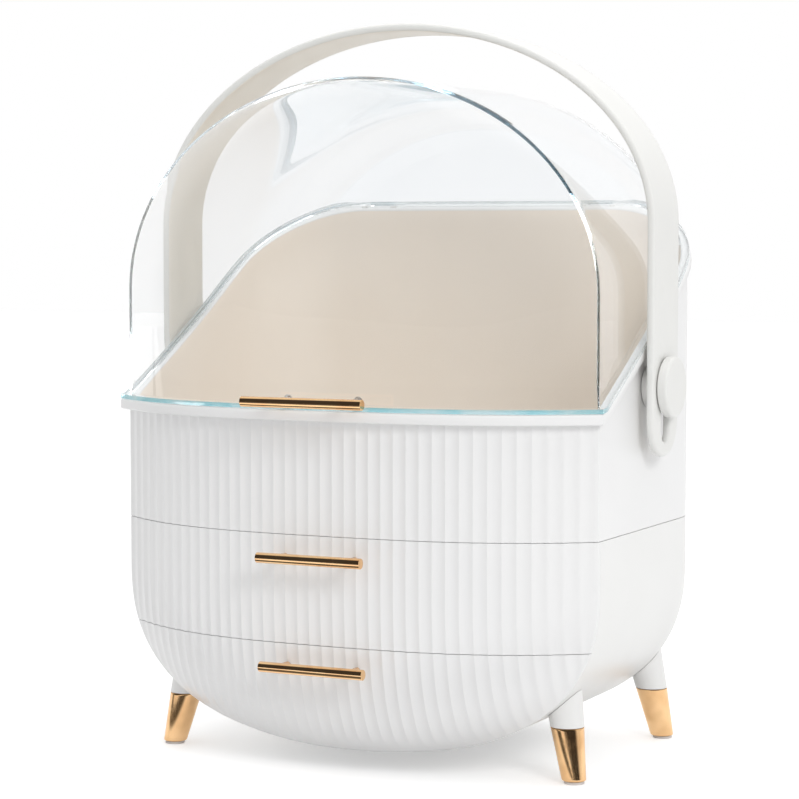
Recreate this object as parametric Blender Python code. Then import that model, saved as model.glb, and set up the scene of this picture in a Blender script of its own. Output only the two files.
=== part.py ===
"""Egg-shaped makeup organizer: two drawers, an open compartment under a clear lid, a swinging
carry handle and four splayed legs. Metres, +Z up, front towards -Y, origin on the floor
midway between the foremost pull and the rearmost hinge knuckle."""

import math

import bmesh
import bpy
from mathutils import Matrix, Vector

MM = 0.001

# Body seen from the front: an upright egg outline
BODY_WIDTH = 300 * MM
BODY_BOTTOM = 11 * MM
BELLY_TOP = 111 * MM
ARCH_BASE = 274 * MM
ARCH_TOP = 396 * MM
BELLY_POWER = 2.42

# Body seen from above: straight sides, bowed front, rounded rear corners
SIDE_DEPTH = 184 * MM
FRONT_BOW = 42 * MM
BOW_POWER = 2.9
REAR_RADIUS = 50 * MM
TOP_RADIUS = 34 * MM

# Joint lines and the tilted rim
LOWER_SEAM = 76.5 * MM
UPPER_SEAM = 138.5 * MM
RIM_FRONT = 209 * MM
RIM_REAR = 325 * MM
RIM_STRAIGHT_SHARE = 0.86
LIP_OVERHANG = 4 * MM
LIP_HEIGHT = 6 * MM

# Walls and gaps
BODY_WALL = 3 * MM
FLOOR_WALL = 3 * MM
FRONT_WALL = 2.6 * MM
LID_WALL = 2.5 * MM
TRAY_WALL = 2 * MM
SHELF_THICKNESS = 2 * MM
GAP = 0.3 * MM
SLIDE_GAP = 0.8 * MM
OVERRUN = 9 * MM

# Fluting of the front
FLUTE_COUNT = 40
FLUTE_DEPTH = 0.9 * MM
FLUTE_FADE = 14 * MM
FLUTE_MARGIN = 1.2 * MM

# Drawers
FRONT_EDGE = 3 * MM
TRAY_TOP_DROP = 5 * MM
TRAY_REAR_GAP = 4 * MM

# Pulls and their screws
DRAWER_PULL_LENGTH = 65 * MM
LID_PULL_LENGTH = 75 * MM
PULL_RADIUS = 3 * MM
DRAWER_PULL_STANDOFF = 14 * MM
LID_PULL_STANDOFF = 22 * MM
PULL_DROP = 12 * MM
POST_RADIUS = 2.2 * MM
POST_SPACING = 44 * MM
SCREW_RADIUS = 1.3 * MM
SCREW_HEAD_RADIUS = 2.8 * MM
SCREW_HEAD_HEIGHT = 1.4 * MM
SCREW_BITE = 7 * MM

# Lid hinge at the top of the rear wall, its two lugs set in from the sides
HINGE_INSET = 75 * MM
HINGE_SETBACK = 5 * MM
HINGE_DROP = 3 * MM
KNUCKLE_RADIUS = 4.2 * MM
LUG_WIDTH = 16 * MM
EAR_WIDTH = 4 * MM
PIN_RADIUS = 1.6 * MM

# Carry handle and its pivots: how far it stands off the body and how far its ends run past the pivot
HANDLE_SIDE_GAP = 6.5 * MM
HANDLE_THICKNESS = 4.5 * MM
HANDLE_BREADTH = 42 * MM
HANDLE_CLEARANCE = 34 * MM
HANDLE_ARM_RISE = 39 * MM
HANDLE_FOOT_DROP = 40 * MM
PIVOT_SETBACK = 76 * MM
PIVOT_RISE = 11 * MM
STUD_DISC_RADIUS = 12 * MM
STUD_RADIUS = 3.5 * MM
SLOT_HALF_WIDTH = 6.5 * MM
SLOT_DROP = 31.5 * MM
SLOT_RISE = 6.8 * MM
CAP_RADIUS = 17.5 * MM
CAP_THICKNESS = 6 * MM
CAP_EDGE = 1 * MM

# Legs
LEG_SETBACK_X = 26 * MM
LEG_SETBACK_FRONT = 20 * MM
LEG_SETBACK_REAR = 28 * MM
LEG_LEAN_X = 6 * MM
LEG_LEAN_Y = 4 * MM
PAD_THICKNESS = 1.5 * MM
PAD_RADIUS = 5.8 * MM
FOOT_TOP = 31 * MM
FOOT_TOP_RADIUS = 9.6 * MM
FOOT_BOTTOM_RADIUS = 7 * MM
SOCKET_TOP = 66 * MM
SOCKET_TOP_RADIUS = 12 * MM
LEG_STUD_RADIUS = 2 * MM
LEG_STUD_BITE = 12 * MM

HALF_WIDTH = BODY_WIDTH / 2
FRONT_REACH = SIDE_DEPTH / 2 + FRONT_BOW + LID_PULL_STANDOFF + PULL_RADIUS
REAR_REACH = SIDE_DEPTH / 2 + LIP_OVERHANG + HINGE_SETBACK + KNUCKLE_RADIUS
MIDDLE_Y = (FRONT_REACH - REAR_REACH) / 2
EDGE_Y = MIDDLE_Y - SIDE_DEPTH / 2
REAR_Y = MIDDLE_Y + SIDE_DEPTH / 2
LID_PULL_HEIGHT = RIM_FRONT + GAP * 2 + LID_WALL + POST_RADIUS
FLUTE_PITCH = (BODY_WIDTH - FLUTE_MARGIN * 2) / FLUTE_COUNT
TRAY_INSET = BODY_WALL + SLIDE_GAP
FAR_FRONT = EDGE_Y - FRONT_BOW - LIP_OVERHANG - OVERRUN
HANDLE_HALF_SPAN = HALF_WIDTH + HANDLE_SIDE_GAP + HANDLE_THICKNESS
HANDLE_TOP = ARCH_TOP + HANDLE_CLEARANCE
HANDLE_ARCH_BASE = ARCH_BASE + HANDLE_ARM_RISE
PIVOT_HEIGHT = RIM_FRONT + PIVOT_RISE
HANDLE_FOOT = PIVOT_HEIGHT - HANDLE_FOOT_DROP
SLOT_BOTTOM = PIVOT_HEIGHT - SLOT_DROP
SLOT_TOP = PIVOT_HEIGHT + SLOT_RISE
HINGE_X = HALF_WIDTH - HINGE_INSET
LEG_HALF_SPACING_X = HALF_WIDTH - LEG_SETBACK_X
LEG_FRONT_Y = EDGE_Y + LEG_SETBACK_FRONT
LEG_REAR_Y = REAR_Y - LEG_SETBACK_REAR
SIDES = (("left", -1), ("right", 1))

# Steps along curved outlines
BELLY_STEPS = 9
ARCH_STEPS = 9
CORNER_STEPS = 5
COLUMNS_PER_FLUTE = 2
PLAIN_COLUMNS = 20
ROUND_SIDES = 32
LEG_SIDES = 24
SMALL_SIDES = 12


def clear_scene():
    for obj in list(bpy.data.objects):
        bpy.data.objects.remove(obj, do_unlink=True)


def make_collection(name):
    collection = bpy.data.collections.new(name)
    bpy.context.scene.collection.children.link(collection)
    return collection


def make_material(name, colour, roughness, metallic=0.0, transmission=0.0):
    material = bpy.data.materials.new(name)
    material.use_nodes = True
    shader = material.node_tree.nodes["Principled BSDF"]
    shader.inputs["Base Color"].default_value = (*colour, 1.0)
    shader.inputs["Roughness"].default_value = roughness
    shader.inputs["Metallic"].default_value = metallic
    shader.inputs["Transmission Weight"].default_value = transmission
    return material


clear_scene()
PARTS = make_collection("makeup_organizer")
CUTTERS = make_collection("cutters")
CUTTERS.hide_render = True

WHITE = make_material("white_plastic", (0.86, 0.86, 0.85), 0.35)
CREAM = make_material("drawer_plastic", (0.84, 0.83, 0.81), 0.4)
CLEAR = make_material("clear_acrylic", (0.93, 0.97, 0.98), 0.03, transmission=0.95)
GOLD = make_material("rose_gold", (0.78, 0.46, 0.25), 0.16, metallic=1.0)
STEEL = make_material("steel", (0.62, 0.62, 0.63), 0.3, metallic=1.0)
RUBBER = make_material("grey_rubber", (0.75, 0.73, 0.71), 0.8)


def add_object(name, bm, material=None):
    """Turn a bmesh into an object: a part when it has a material, otherwise a cutter."""
    bmesh.ops.recalc_face_normals(bm, faces=bm.faces)
    if bm.calc_volume(signed=True) < 0:
        bmesh.ops.reverse_faces(bm, faces=bm.faces)
    mesh = bpy.data.meshes.new(name)
    bm.to_mesh(mesh)
    bm.free()
    obj = bpy.data.objects.new(name, mesh)
    if material:
        mesh.materials.append(material)
        PARTS.objects.link(obj)
    else:
        CUTTERS.objects.link(obj)
        obj.hide_render = True
        obj.display_type = "WIRE"
    return obj


def combine(target, other, operation):
    modifier = target.modifiers.new(other.name, "BOOLEAN")
    modifier.object = other
    modifier.operation = operation
    modifier.solver = "EXACT"
    return target


def cut(target, other):
    return combine(target, other, "DIFFERENCE")


def keep(target, other):
    return combine(target, other, "INTERSECT")


def join(target, other):
    return combine(target, other, "UNION")


def box(name, low, high, material=None):
    bm = bmesh.new()
    bmesh.ops.create_cube(bm, size=1)
    size = [b - a for a, b in zip(low, high)]
    centre = [(a + b) / 2 for a, b in zip(low, high)]
    bmesh.ops.scale(bm, vec=size, verts=bm.verts)
    bmesh.ops.translate(bm, vec=centre, verts=bm.verts)
    return add_object(name, bm, material)


AXIS_TURNS = {
    "x": Matrix.Rotation(math.radians(90), 4, "Y"),
    "y": Matrix.Rotation(math.radians(90), 4, "X"),
    "z": Matrix.Identity(4),
}


def cylinder(name, radius, centre, length, axis, material=None, sides=SMALL_SIDES):
    """A round bar centred on a point."""
    bm = bmesh.new()
    bmesh.ops.create_cone(
        bm, cap_ends=True, segments=sides, radius1=radius, radius2=radius, depth=length
    )
    bmesh.ops.transform(bm, matrix=AXIS_TURNS[axis], verts=bm.verts)
    bmesh.ops.translate(bm, vec=centre, verts=bm.verts)
    return add_object(name, bm, material)


def outline_solid(name, points, axis, low, high, material=None):
    """A flat outline given thickness along x or y. Points are (y, z) for x and (x, z) for y."""
    curve = bpy.data.curves.new(name, "CURVE")
    curve.dimensions = "2D"
    curve.fill_mode = "BOTH"
    curve.extrude = (high - low) / 2
    spline = curve.splines.new("POLY")
    spline.points.add(len(points) - 1)
    spline.use_cyclic_u = True
    for point, (u, v) in zip(spline.points, points):
        point.co = (u, v, 0, 1)
    flat = bpy.data.objects.new(name, curve)
    CUTTERS.objects.link(flat)
    bpy.context.view_layer.update()
    graph = bpy.context.evaluated_depsgraph_get()
    mesh = bpy.data.meshes.new_from_object(flat.evaluated_get(graph))
    bm = bmesh.new()
    bm.from_mesh(mesh)
    bpy.data.objects.remove(flat, do_unlink=True)
    bpy.data.meshes.remove(mesh)
    bmesh.ops.remove_doubles(bm, verts=bm.verts, dist=OVERRUN / 1000)
    middle = (low + high) / 2
    for vert in bm.verts:
        u, v, w = vert.co
        vert.co = (middle + w, u, v) if axis == "x" else (u, middle + w, v)
    return add_object(name, bm, material)


def loft(name, rings, material=None):
    """A closed body through rings of as many points each, the first and last ring filled."""
    bm = bmesh.new()
    made = [[bm.verts.new(point) for point in ring] for ring in rings]
    for ring, following in zip(made, made[1:]):
        for i, vert in enumerate(ring):
            j = (i + 1) % len(ring)
            bm.faces.new((vert, ring[j], following[j], following[i]))
    bm.faces.new(reversed(made[0]))
    bm.faces.new(made[-1])
    return add_object(name, bm, material)


def half_width(z, inset=0.0):
    """Half the width of the egg outline at height z, drawn in by inset."""
    half = HALF_WIDTH - inset
    if z < BELLY_TOP:
        share = (BELLY_TOP - z) / (BELLY_TOP - BODY_BOTTOM - inset)
        return half * max(0.0, 1 - share**BELLY_POWER) ** (1 / BELLY_POWER)
    if z > ARCH_BASE:
        share = (z - ARCH_BASE) / (ARCH_TOP - ARCH_BASE - inset)
        return half * math.sqrt(max(0.0, 1 - share**2))
    return half


def face_y(x, z, inset=0.0):
    """The front face: bowed from above, and flattening to the straight edge all round it."""
    half = half_width(z, inset)
    edge = EDGE_Y + inset
    if abs(x) >= half:
        return edge
    bow = FRONT_BOW * half / HALF_WIDTH
    return edge - bow * (1 - (abs(x) / half) ** BOW_POWER)


def flute_y(x, z):
    """How far a point of the fluted face lies behind the ridges between its flutes."""
    fade = min(1.0, max(0.0, (z - BODY_BOTTOM) / FLUTE_FADE))
    return FLUTE_DEPTH * fade * abs(math.sin(math.pi * x / FLUTE_PITCH))


def rim_z(y):
    """Height of the tilted rim: almost straight, steeper near the rear wall."""
    share = (y - EDGE_Y) / SIDE_DEPTH
    rise = RIM_REAR - RIM_FRONT
    if share < 0:
        return RIM_FRONT
    return RIM_FRONT + rise * (
        RIM_STRAIGHT_SHARE * share + (1 - RIM_STRAIGHT_SHARE) * share**3
    )


def egg_ring(y, side_inset, top_inset, bottom_inset):
    """The egg outline at depth y as a ring of points, from the bottom round to the bottom."""
    half = HALF_WIDTH - side_inset
    belly = BELLY_TOP - BODY_BOTTOM - bottom_inset
    arch = ARCH_TOP - ARCH_BASE - top_inset
    right = []
    for i in range(1, BELLY_STEPS + 1):
        angle = math.pi / 2 * i / BELLY_STEPS
        x = half * math.sin(angle) ** (2 / BELLY_POWER)
        z = BELLY_TOP - belly * math.cos(angle) ** (2 / BELLY_POWER)
        right.append((x, z))
    for i in range(ARCH_STEPS):
        angle = math.pi / 2 * i / ARCH_STEPS
        right.append((half * math.cos(angle), ARCH_BASE + arch * math.sin(angle)))
    points = [(0, BELLY_TOP - belly), *right, (0, ARCH_BASE + arch)]
    points += [(-x, z) for x, z in reversed(right)]
    return [Vector((x, y, z)) for x, z in points]


def barrel(name, inset, rear_gap=0.0, material=None):
    """The egg run from in front of the body to its rear, where its edge is rounded over."""
    rear = REAR_Y - inset - rear_gap
    corner = REAR_RADIUS - inset
    top = TOP_RADIUS - inset
    start = rear - corner
    rings = [egg_ring(FAR_FRONT - OVERRUN, inset, inset, inset)]
    for i in range(CORNER_STEPS + 1):
        y = start + corner * math.sin(math.pi / 2 * i / CORNER_STEPS)
        side = corner - math.sqrt(max(0.0, corner**2 - (y - start) ** 2))
        over = max(0.0, y - (rear - top))
        cap = top - math.sqrt(max(0.0, top**2 - over**2))
        rings.append(egg_ring(y, inset + side, inset + cap, inset + cap))
    return loft(name, rings, material)


def outline_heights(inset):
    """Heights of the points of the egg outline, from the bottom to the top."""
    belly = BELLY_TOP - BODY_BOTTOM - inset
    arch = ARCH_TOP - ARCH_BASE - inset
    quarter = math.pi / 2
    heights = [BELLY_TOP - belly * math.cos(quarter * i / BELLY_STEPS) ** (2 / BELLY_POWER)
               for i in range(BELLY_STEPS + 1)]
    heights += [ARCH_BASE + arch * math.sin(quarter * i / ARCH_STEPS) for i in range(ARCH_STEPS + 1)]
    return heights


def front_air(name, inset, low, high, fluted=False, also=()):
    """Everything in front of the bowed face between two heights, for cutting it on a barrel."""
    rows = sorted([low, *(z for z in outline_heights(inset) if low < z < high), *also, high])
    columns = (FLUTE_COUNT + 2) * COLUMNS_PER_FLUTE if fluted else PLAIN_COLUMNS
    bm = bmesh.new()
    bmesh.ops.create_grid(bm, x_segments=columns, y_segments=len(rows) - 1, size=1)
    reach = HALF_WIDTH - FLUTE_MARGIN + FLUTE_PITCH
    for vert in bm.verts:
        z = rows[round((vert.co.y + 1) / 2 * (len(rows) - 1))]
        half = half_width(z, inset) + GAP
        if fluted:
            x = max(-half, min(half, vert.co.x * reach))
        else:
            x = half * math.sin(math.pi / 2 * vert.co.x)
        y = face_y(x, z, inset)
        if fluted and abs(x) < half_width(z):
            y += flute_y(x, z)
        vert.co = (x, y, z)
    bmesh.ops.remove_doubles(bm, verts=bm.verts, dist=OVERRUN / 1000)
    bmesh.ops.triangulate(bm, faces=bm.faces, quad_method="FIXED")
    made = bmesh.ops.extrude_face_region(bm, geom=list(bm.faces))
    for vert in made["geom"]:
        if isinstance(vert, bmesh.types.BMVert):
            vert.co.y = FAR_FRONT - OVERRUN * 2
    return add_object(name, bm)


def rim_region(name, below, above):
    """The space between two heights taken from the rim, over the whole width."""
    start = FAR_FRONT - OVERRUN
    end = REAR_Y + LIP_OVERHANG + OVERRUN
    depths = [start, EDGE_Y]
    depths += [EDGE_Y + SIDE_DEPTH * i / CORNER_STEPS for i in range(1, CORNER_STEPS + 1)]
    lower = [(y, rim_z(y) + below) for y in depths] + [(end, RIM_REAR + below)]
    upper = [(y, rim_z(y) + above) for y in depths] + [(end, RIM_REAR + above)]
    reach = HALF_WIDTH + LIP_OVERHANG + OVERRUN
    return outline_solid(name, lower + upper[::-1], "x", -reach, reach)


REACH = HALF_WIDTH + OVERRUN * 2
BACK = REAR_Y + OVERRUN


def slab(name, low, high, front=FAR_FRONT, back=BACK):
    return box(name, (-REACH, front, low), (REACH, back, high))


# Drawer housing: the belly, open at the front and at the top

def build_housing():
    housing = barrel("drawer_housing", 0.0, material=WHITE)
    front = EDGE_Y + FRONT_EDGE + GAP
    keep(housing, slab("housing_extent", 0, UPPER_SEAM - GAP, front=front))
    cut(housing, barrel("housing_hollow", BODY_WALL))


def build_shelf():
    low = LOWER_SEAM - SHELF_THICKNESS / 2
    shelf = barrel("drawer_shelf", BODY_WALL + GAP, material=CREAM)
    front = EDGE_Y + FRONT_EDGE + GAP
    keep(shelf, slab("shelf_extent", low, low + SHELF_THICKNESS, front=front))


# Upper compartment: fluted front, tilted rim with an overhanging lip, hinge ears

HINGE_Y = REAR_Y + LIP_OVERHANG + HINGE_SETBACK
HINGE_Z = RIM_REAR - HINGE_DROP


def build_compartment():
    low = UPPER_SEAM + GAP
    span = (BELLY_TOP, ARCH_TOP + OVERRUN)
    tub = barrel("upper_compartment", 0.0, material=WHITE)
    cut(tub, front_air("compartment_air", 0.0, *span, fluted=True))
    keep(tub, slab("compartment_extent", low, RIM_REAR + OVERRUN))
    lip = cut(barrel("lip_ring", -LIP_OVERHANG), front_air("lip_air", -LIP_OVERHANG, *span))
    join(tub, keep(lip, rim_region("lip_band", -LIP_HEIGHT, OVERRUN)))
    for side, sign in SIDES:
        for edge, outwards in (("outer", 1), ("inner", -1)):
            middle = sign * HINGE_X + outwards * (LUG_WIDTH / 2 + GAP + EAR_WIDTH / 2)
            join(tub, hinge_ear(f"ear_{side}_{edge}", middle))
    hollow = barrel("compartment_hollow", BODY_WALL)
    cut(hollow, front_air("compartment_hollow_air", BODY_WALL, *span))
    keep(hollow, slab("compartment_inside", low + FLOOR_WALL, ARCH_TOP))
    cut(tub, hollow)
    cut(tub, rim_region("above_rim", 0.0, ARCH_TOP))
    for side, sign in SIDES:
        centre = (sign * HINGE_X, HINGE_Y, HINGE_Z)
        cut(tub, cylinder(f"ear_bore_{side}", PIN_RADIUS + GAP, centre, LUG_WIDTH * 2, "x"))


def knuckle_point(angle):
    """A (y, z) point on the round of a knuckle about the hinge axis."""
    return HINGE_Y + KNUCKLE_RADIUS * math.cos(angle), HINGE_Z + KNUCKLE_RADIUS * math.sin(angle)


def hinge_ear(name, middle):
    """A rounded ear that reaches back from the rear wall to the hinge axis."""
    foot = REAR_Y - BODY_WALL / 2
    lowest = HINGE_Z - KNUCKLE_RADIUS * 3
    points = [(foot, lowest)]
    for i in range(SMALL_SIDES // 2 + 1):
        points.append(knuckle_point(-math.pi / 3 + math.pi * i / (SMALL_SIDES // 2)))
    points.append((foot, HINGE_Z + KNUCKLE_RADIUS * math.sin(math.pi * 2 / 3) - GAP * 2))
    return outline_solid(name, points, "x", middle - EAR_WIDTH / 2, middle + EAR_WIDTH / 2)


# Clear lid: bowed front, rounded rear, a thin flange that rests on the lip, two hinge lugs

def build_lid():
    span = (RIM_FRONT - OVERRUN, ARCH_TOP + OVERRUN)
    lid = barrel("lid", 0.0, material=CLEAR)
    cut(lid, front_air("lid_air", 0.0, *span))
    flange = cut(barrel("flange_ring", -LIP_OVERHANG), front_air("flange_air", -LIP_OVERHANG, *span))
    join(lid, keep(flange, rim_region("flange_band", GAP, GAP + LID_WALL)))
    for side, sign in SIDES:
        join(lid, hinge_lug(f"lug_{side}", sign * HINGE_X))
    hollow = barrel("lid_hollow", LID_WALL)
    cut(lid, cut(hollow, front_air("lid_hollow_air", LID_WALL, *span)))
    below = [(FAR_FRONT - OVERRUN, 0), (FAR_FRONT - OVERRUN, RIM_FRONT + GAP), (EDGE_Y, RIM_FRONT + GAP)]
    for i in range(1, CORNER_STEPS + 1):
        y = EDGE_Y + SIDE_DEPTH * i / CORNER_STEPS
        below.append((y, rim_z(y) + GAP))
    turn = REAR_Y + LIP_OVERHANG + GAP
    below += [(turn, RIM_REAR + GAP), (turn, 0)]
    cut(lid, outline_solid("below_rim", below, "x", -REACH, REACH))
    for side, sign in SIDES:
        centre = (sign * HINGE_X, HINGE_Y, HINGE_Z)
        cut(lid, cylinder(f"lug_bore_{side}", PIN_RADIUS + GAP, centre, LUG_WIDTH * 2, "x"))


def hinge_lug(name, middle):
    """A knuckle round the pin with a web that rises to the lid's flange."""
    top = RIM_REAR + GAP + LID_WALL
    points = []
    for i in range(SMALL_SIDES // 2 + 1):
        points.append(knuckle_point(-math.pi + math.pi * i / (SMALL_SIDES // 2)))
    points += [(HINGE_Y, top), (REAR_Y - LID_WALL / 2, top)]
    points += [(REAR_Y - LID_WALL / 2, RIM_REAR + GAP), (HINGE_Y - KNUCKLE_RADIUS, RIM_REAR + GAP)]
    return outline_solid(name, points, "x", middle - LUG_WIDTH / 2, middle + LUG_WIDTH / 2)


def build_hinge_pins():
    length = LUG_WIDTH + (GAP + EAR_WIDTH) * 2
    for side, sign in SIDES:
        centre = (sign * HINGE_X, HINGE_Y, HINGE_Z)
        cylinder(f"hinge_pin_{side}", PIN_RADIUS, centre, length, "x", STEEL)


# Drawers: fluted front shell, tray and pull

def build_drawer(name, low, high):
    """The drawer between two joint lines. low is None for the lower one, which fills the belly."""
    bottom = BODY_BOTTOM - OVERRUN if low is None else low + GAP
    top = high - GAP
    height = high - PULL_DROP
    span = (bottom - OVERRUN, top + OVERRUN)
    back = EDGE_Y + FRONT_EDGE
    front = barrel(f"{name}_front", 0.0, material=WHITE)
    cut(front, front_air(f"{name}_air", 0.0, *span, fluted=True))
    keep(front, slab(f"{name}_front_extent", bottom, top, back=back))
    behind = cut(barrel(f"{name}_behind", FRONT_WALL), front_air(f"{name}_behind_air", FRONT_WALL, *span))
    cut(front, behind)

    tray_low = bottom if low is None else low + SHELF_THICKNESS / 2 + SLIDE_GAP
    tray_high = top - TRAY_TOP_DROP
    tray = barrel(f"{name}_tray", TRAY_INSET, TRAY_REAR_GAP, CREAM)
    cut(tray, front_air(f"{name}_tray_air", TRAY_INSET, *span))
    keep(tray, slab(f"{name}_tray_extent", tray_low, tray_high))
    inner = TRAY_INSET + TRAY_WALL
    inside = barrel(f"{name}_inside", inner, TRAY_REAR_GAP)
    cut(inside, front_air(f"{name}_inside_air", inner, *span, also=[height]))
    keep(inside, slab(f"{name}_inside_extent", tray_low + TRAY_WALL, high + OVERRUN))
    cut(tray, inside)

    build_pull(name, height, DRAWER_PULL_LENGTH, DRAWER_PULL_STANDOFF, inner, (front, tray))


def build_pull(name, height, length, standoff, depth, walls):
    """A bar on two posts, each held by a screw that passes through the walls behind it."""
    post_x = POST_SPACING / 2
    surface = face_y(post_x, height)
    seat = face_y(post_x - POST_RADIUS, height + POST_RADIUS) - GAP
    head_face = face_y(post_x + SCREW_HEAD_RADIUS, height - SCREW_HEAD_RADIUS, depth) + GAP
    bar_y = face_y(0, height) - standoff
    pull = cylinder(f"{name}_pull", PULL_RADIUS, (0, bar_y, height), length, "x", GOLD, ROUND_SIDES // 2)
    for side, sign in SIDES:
        x = sign * post_x
        post_length = seat - bar_y
        post_centre = (x, bar_y + post_length / 2, height)
        join(pull, cylinder(f"{name}_post_{side}", POST_RADIUS, post_centre, post_length, "y"))
        tip = surface - SCREW_BITE
        bore_length = head_face - tip + GAP
        middle = (head_face + tip - GAP) / 2
        bore = cylinder(f"{name}_bore_{side}", SCREW_RADIUS + GAP, (x, middle, height), bore_length, "y")
        for wall in walls:
            cut(wall, bore)
        cut(pull, bore)
        head_back = head_face + SCREW_HEAD_HEIGHT
        shank = (x, (head_back + tip) / 2, height)
        screw = cylinder(f"{name}_screw_{side}", SCREW_RADIUS, shank, head_back - tip, "y", STEEL)
        head_centre = (x, (head_face + head_back) / 2, height)
        join(screw, cylinder(f"{name}_head_{side}", SCREW_HEAD_RADIUS, head_centre, SCREW_HEAD_HEIGHT, "y"))


# Carry handle: arch band with slotted ends, blocks that slide in the slots, caps outside

PIVOT_Y = EDGE_Y + PIVOT_SETBACK


def stadium(y, low, high, half):
    """A slot outline with round ends, as (y, z) points."""
    points = []
    for i in range(SMALL_SIDES + 1):
        angle = math.pi * i / SMALL_SIDES
        points.append((y + half * math.cos(angle), high - half + half * math.sin(angle)))
    for i in range(SMALL_SIDES + 1):
        angle = math.pi + math.pi * i / SMALL_SIDES
        points.append((y + half * math.cos(angle), low + half + half * math.sin(angle)))
    return points


def arch_outline(half, top):
    """One side of the band: up one arm, over the arch and down the other arm."""
    steps = ARCH_STEPS * 4
    rise = top - HANDLE_ARCH_BASE
    points = [(half, HANDLE_FOOT)]
    for i in range(steps + 1):
        angle = math.pi * i / steps
        points.append((half * math.cos(angle), HANDLE_ARCH_BASE + rise * math.sin(angle)))
    points.append((-half, HANDLE_FOOT))
    return points


def build_handle():
    inner_half = HANDLE_HALF_SPAN - HANDLE_THICKNESS
    outer = arch_outline(HANDLE_HALF_SPAN, HANDLE_TOP)
    inner = arch_outline(inner_half, HANDLE_TOP - HANDLE_THICKNESS)
    half = HANDLE_BREADTH / 2
    handle = outline_solid(
        "carry_handle", outer + inner[::-1], "y", PIVOT_Y - half, PIVOT_Y + half, WHITE
    )
    reach = HANDLE_HALF_SPAN + OVERRUN
    ends = stadium(PIVOT_Y, HANDLE_FOOT, HANDLE_TOP + HANDLE_BREADTH, half)
    keep(handle, outline_solid("handle_ends", ends, "x", -reach, reach))
    slot = stadium(PIVOT_Y, SLOT_BOTTOM, SLOT_TOP, SLOT_HALF_WIDTH)
    for side, sign in SIDES:
        near, far = sorted((sign * (inner_half - OVERRUN / 2), sign * (HANDLE_HALF_SPAN + OVERRUN / 2)))
        cut(handle, outline_solid(f"handle_slot_{side}", slot, "x", near, far))


def build_pivots():
    inner_half = HANDLE_HALF_SPAN - HANDLE_THICKNESS
    axis_point = (PIVOT_Y, PIVOT_HEIGHT)
    half_length = SLOT_RISE - GAP
    half = SLOT_HALF_WIDTH - GAP
    cap_inner = HANDLE_HALF_SPAN + GAP
    for side, sign in SIDES:
        wall = HALF_WIDTH + GAP
        disc_end = inner_half - GAP
        centre = (sign * (wall + disc_end) / 2, *axis_point)
        stud = cylinder(
            f"side_stud_{side}", STUD_DISC_RADIUS, centre, disc_end - wall, "x", WHITE, ROUND_SIDES
        )
        tip = cap_inner - GAP
        neck = (sign * (wall + tip) / 2, *axis_point)
        join(stud, cylinder(f"stud_neck_{side}", STUD_RADIUS, neck, tip - wall, "x"))
        outline = stadium(PIVOT_Y, PIVOT_HEIGHT - half_length, PIVOT_HEIGHT + half_length, half)
        near, far = sorted((sign * (inner_half + GAP), sign * cap_inner))
        block = outline_solid(f"slide_block_{side}", outline, "x", near, far, CREAM)
        bore = (sign * (inner_half + HANDLE_HALF_SPAN) / 2, *axis_point)
        cut(block, cylinder(f"block_bore_{side}", STUD_RADIUS + GAP, bore, HANDLE_BREADTH / 2, "x"))
        build_cap(side, sign, cap_inner + GAP)


def build_cap(side, sign, inner):
    """A round button cap with a turned-over edge."""
    profile = [
        (CAP_RADIUS, 0),
        (CAP_RADIUS, CAP_THICKNESS - CAP_EDGE),
        (CAP_RADIUS - CAP_EDGE, CAP_THICKNESS),
        (0, CAP_THICKNESS),
    ]
    bm = bmesh.new()
    verts = [bm.verts.new((radius, 0, height)) for radius, height in [(0, 0), *profile]]
    for start, end in zip(verts, verts[1:]):
        bm.edges.new((start, end))
    bmesh.ops.spin(
        bm, geom=list(bm.verts) + list(bm.edges), axis=(0, 0, 1), cent=(0, 0, 0),
        angle=math.tau, steps=ROUND_SIDES, use_merge=True,
    )
    bmesh.ops.remove_doubles(bm, verts=bm.verts, dist=OVERRUN / 1000)
    turn = Matrix.Rotation(math.radians(90) * sign, 4, "Y")
    place = Matrix.Translation((sign * inner, PIVOT_Y, PIVOT_HEIGHT))
    bmesh.ops.transform(bm, matrix=place @ turn, verts=bm.verts)
    add_object(f"pivot_cap_{side}", bm, WHITE)


# Legs: white socket, gold foot, rubber pad and the stud between them

def lean(bm, sign_x, sign_y, x, y):
    """Set an upright round piece on the leg's slanted centre line, its ends kept level."""
    for vert in bm.verts:
        share = (FOOT_TOP - vert.co.z) / FOOT_TOP
        vert.co.x += x + sign_x * LEG_LEAN_X * share
        vert.co.y += y + sign_y * LEG_LEAN_Y * share


def leg_piece(name, leg, low, high, low_radius, high_radius, material):
    bm = bmesh.new()
    bmesh.ops.create_cone(
        bm, cap_ends=True, segments=LEG_SIDES, radius1=low_radius, radius2=high_radius, depth=high - low
    )
    bmesh.ops.translate(bm, vec=(0, 0, (low + high) / 2), verts=bm.verts)
    lean(bm, *leg)
    return add_object(name, bm, material)


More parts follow.
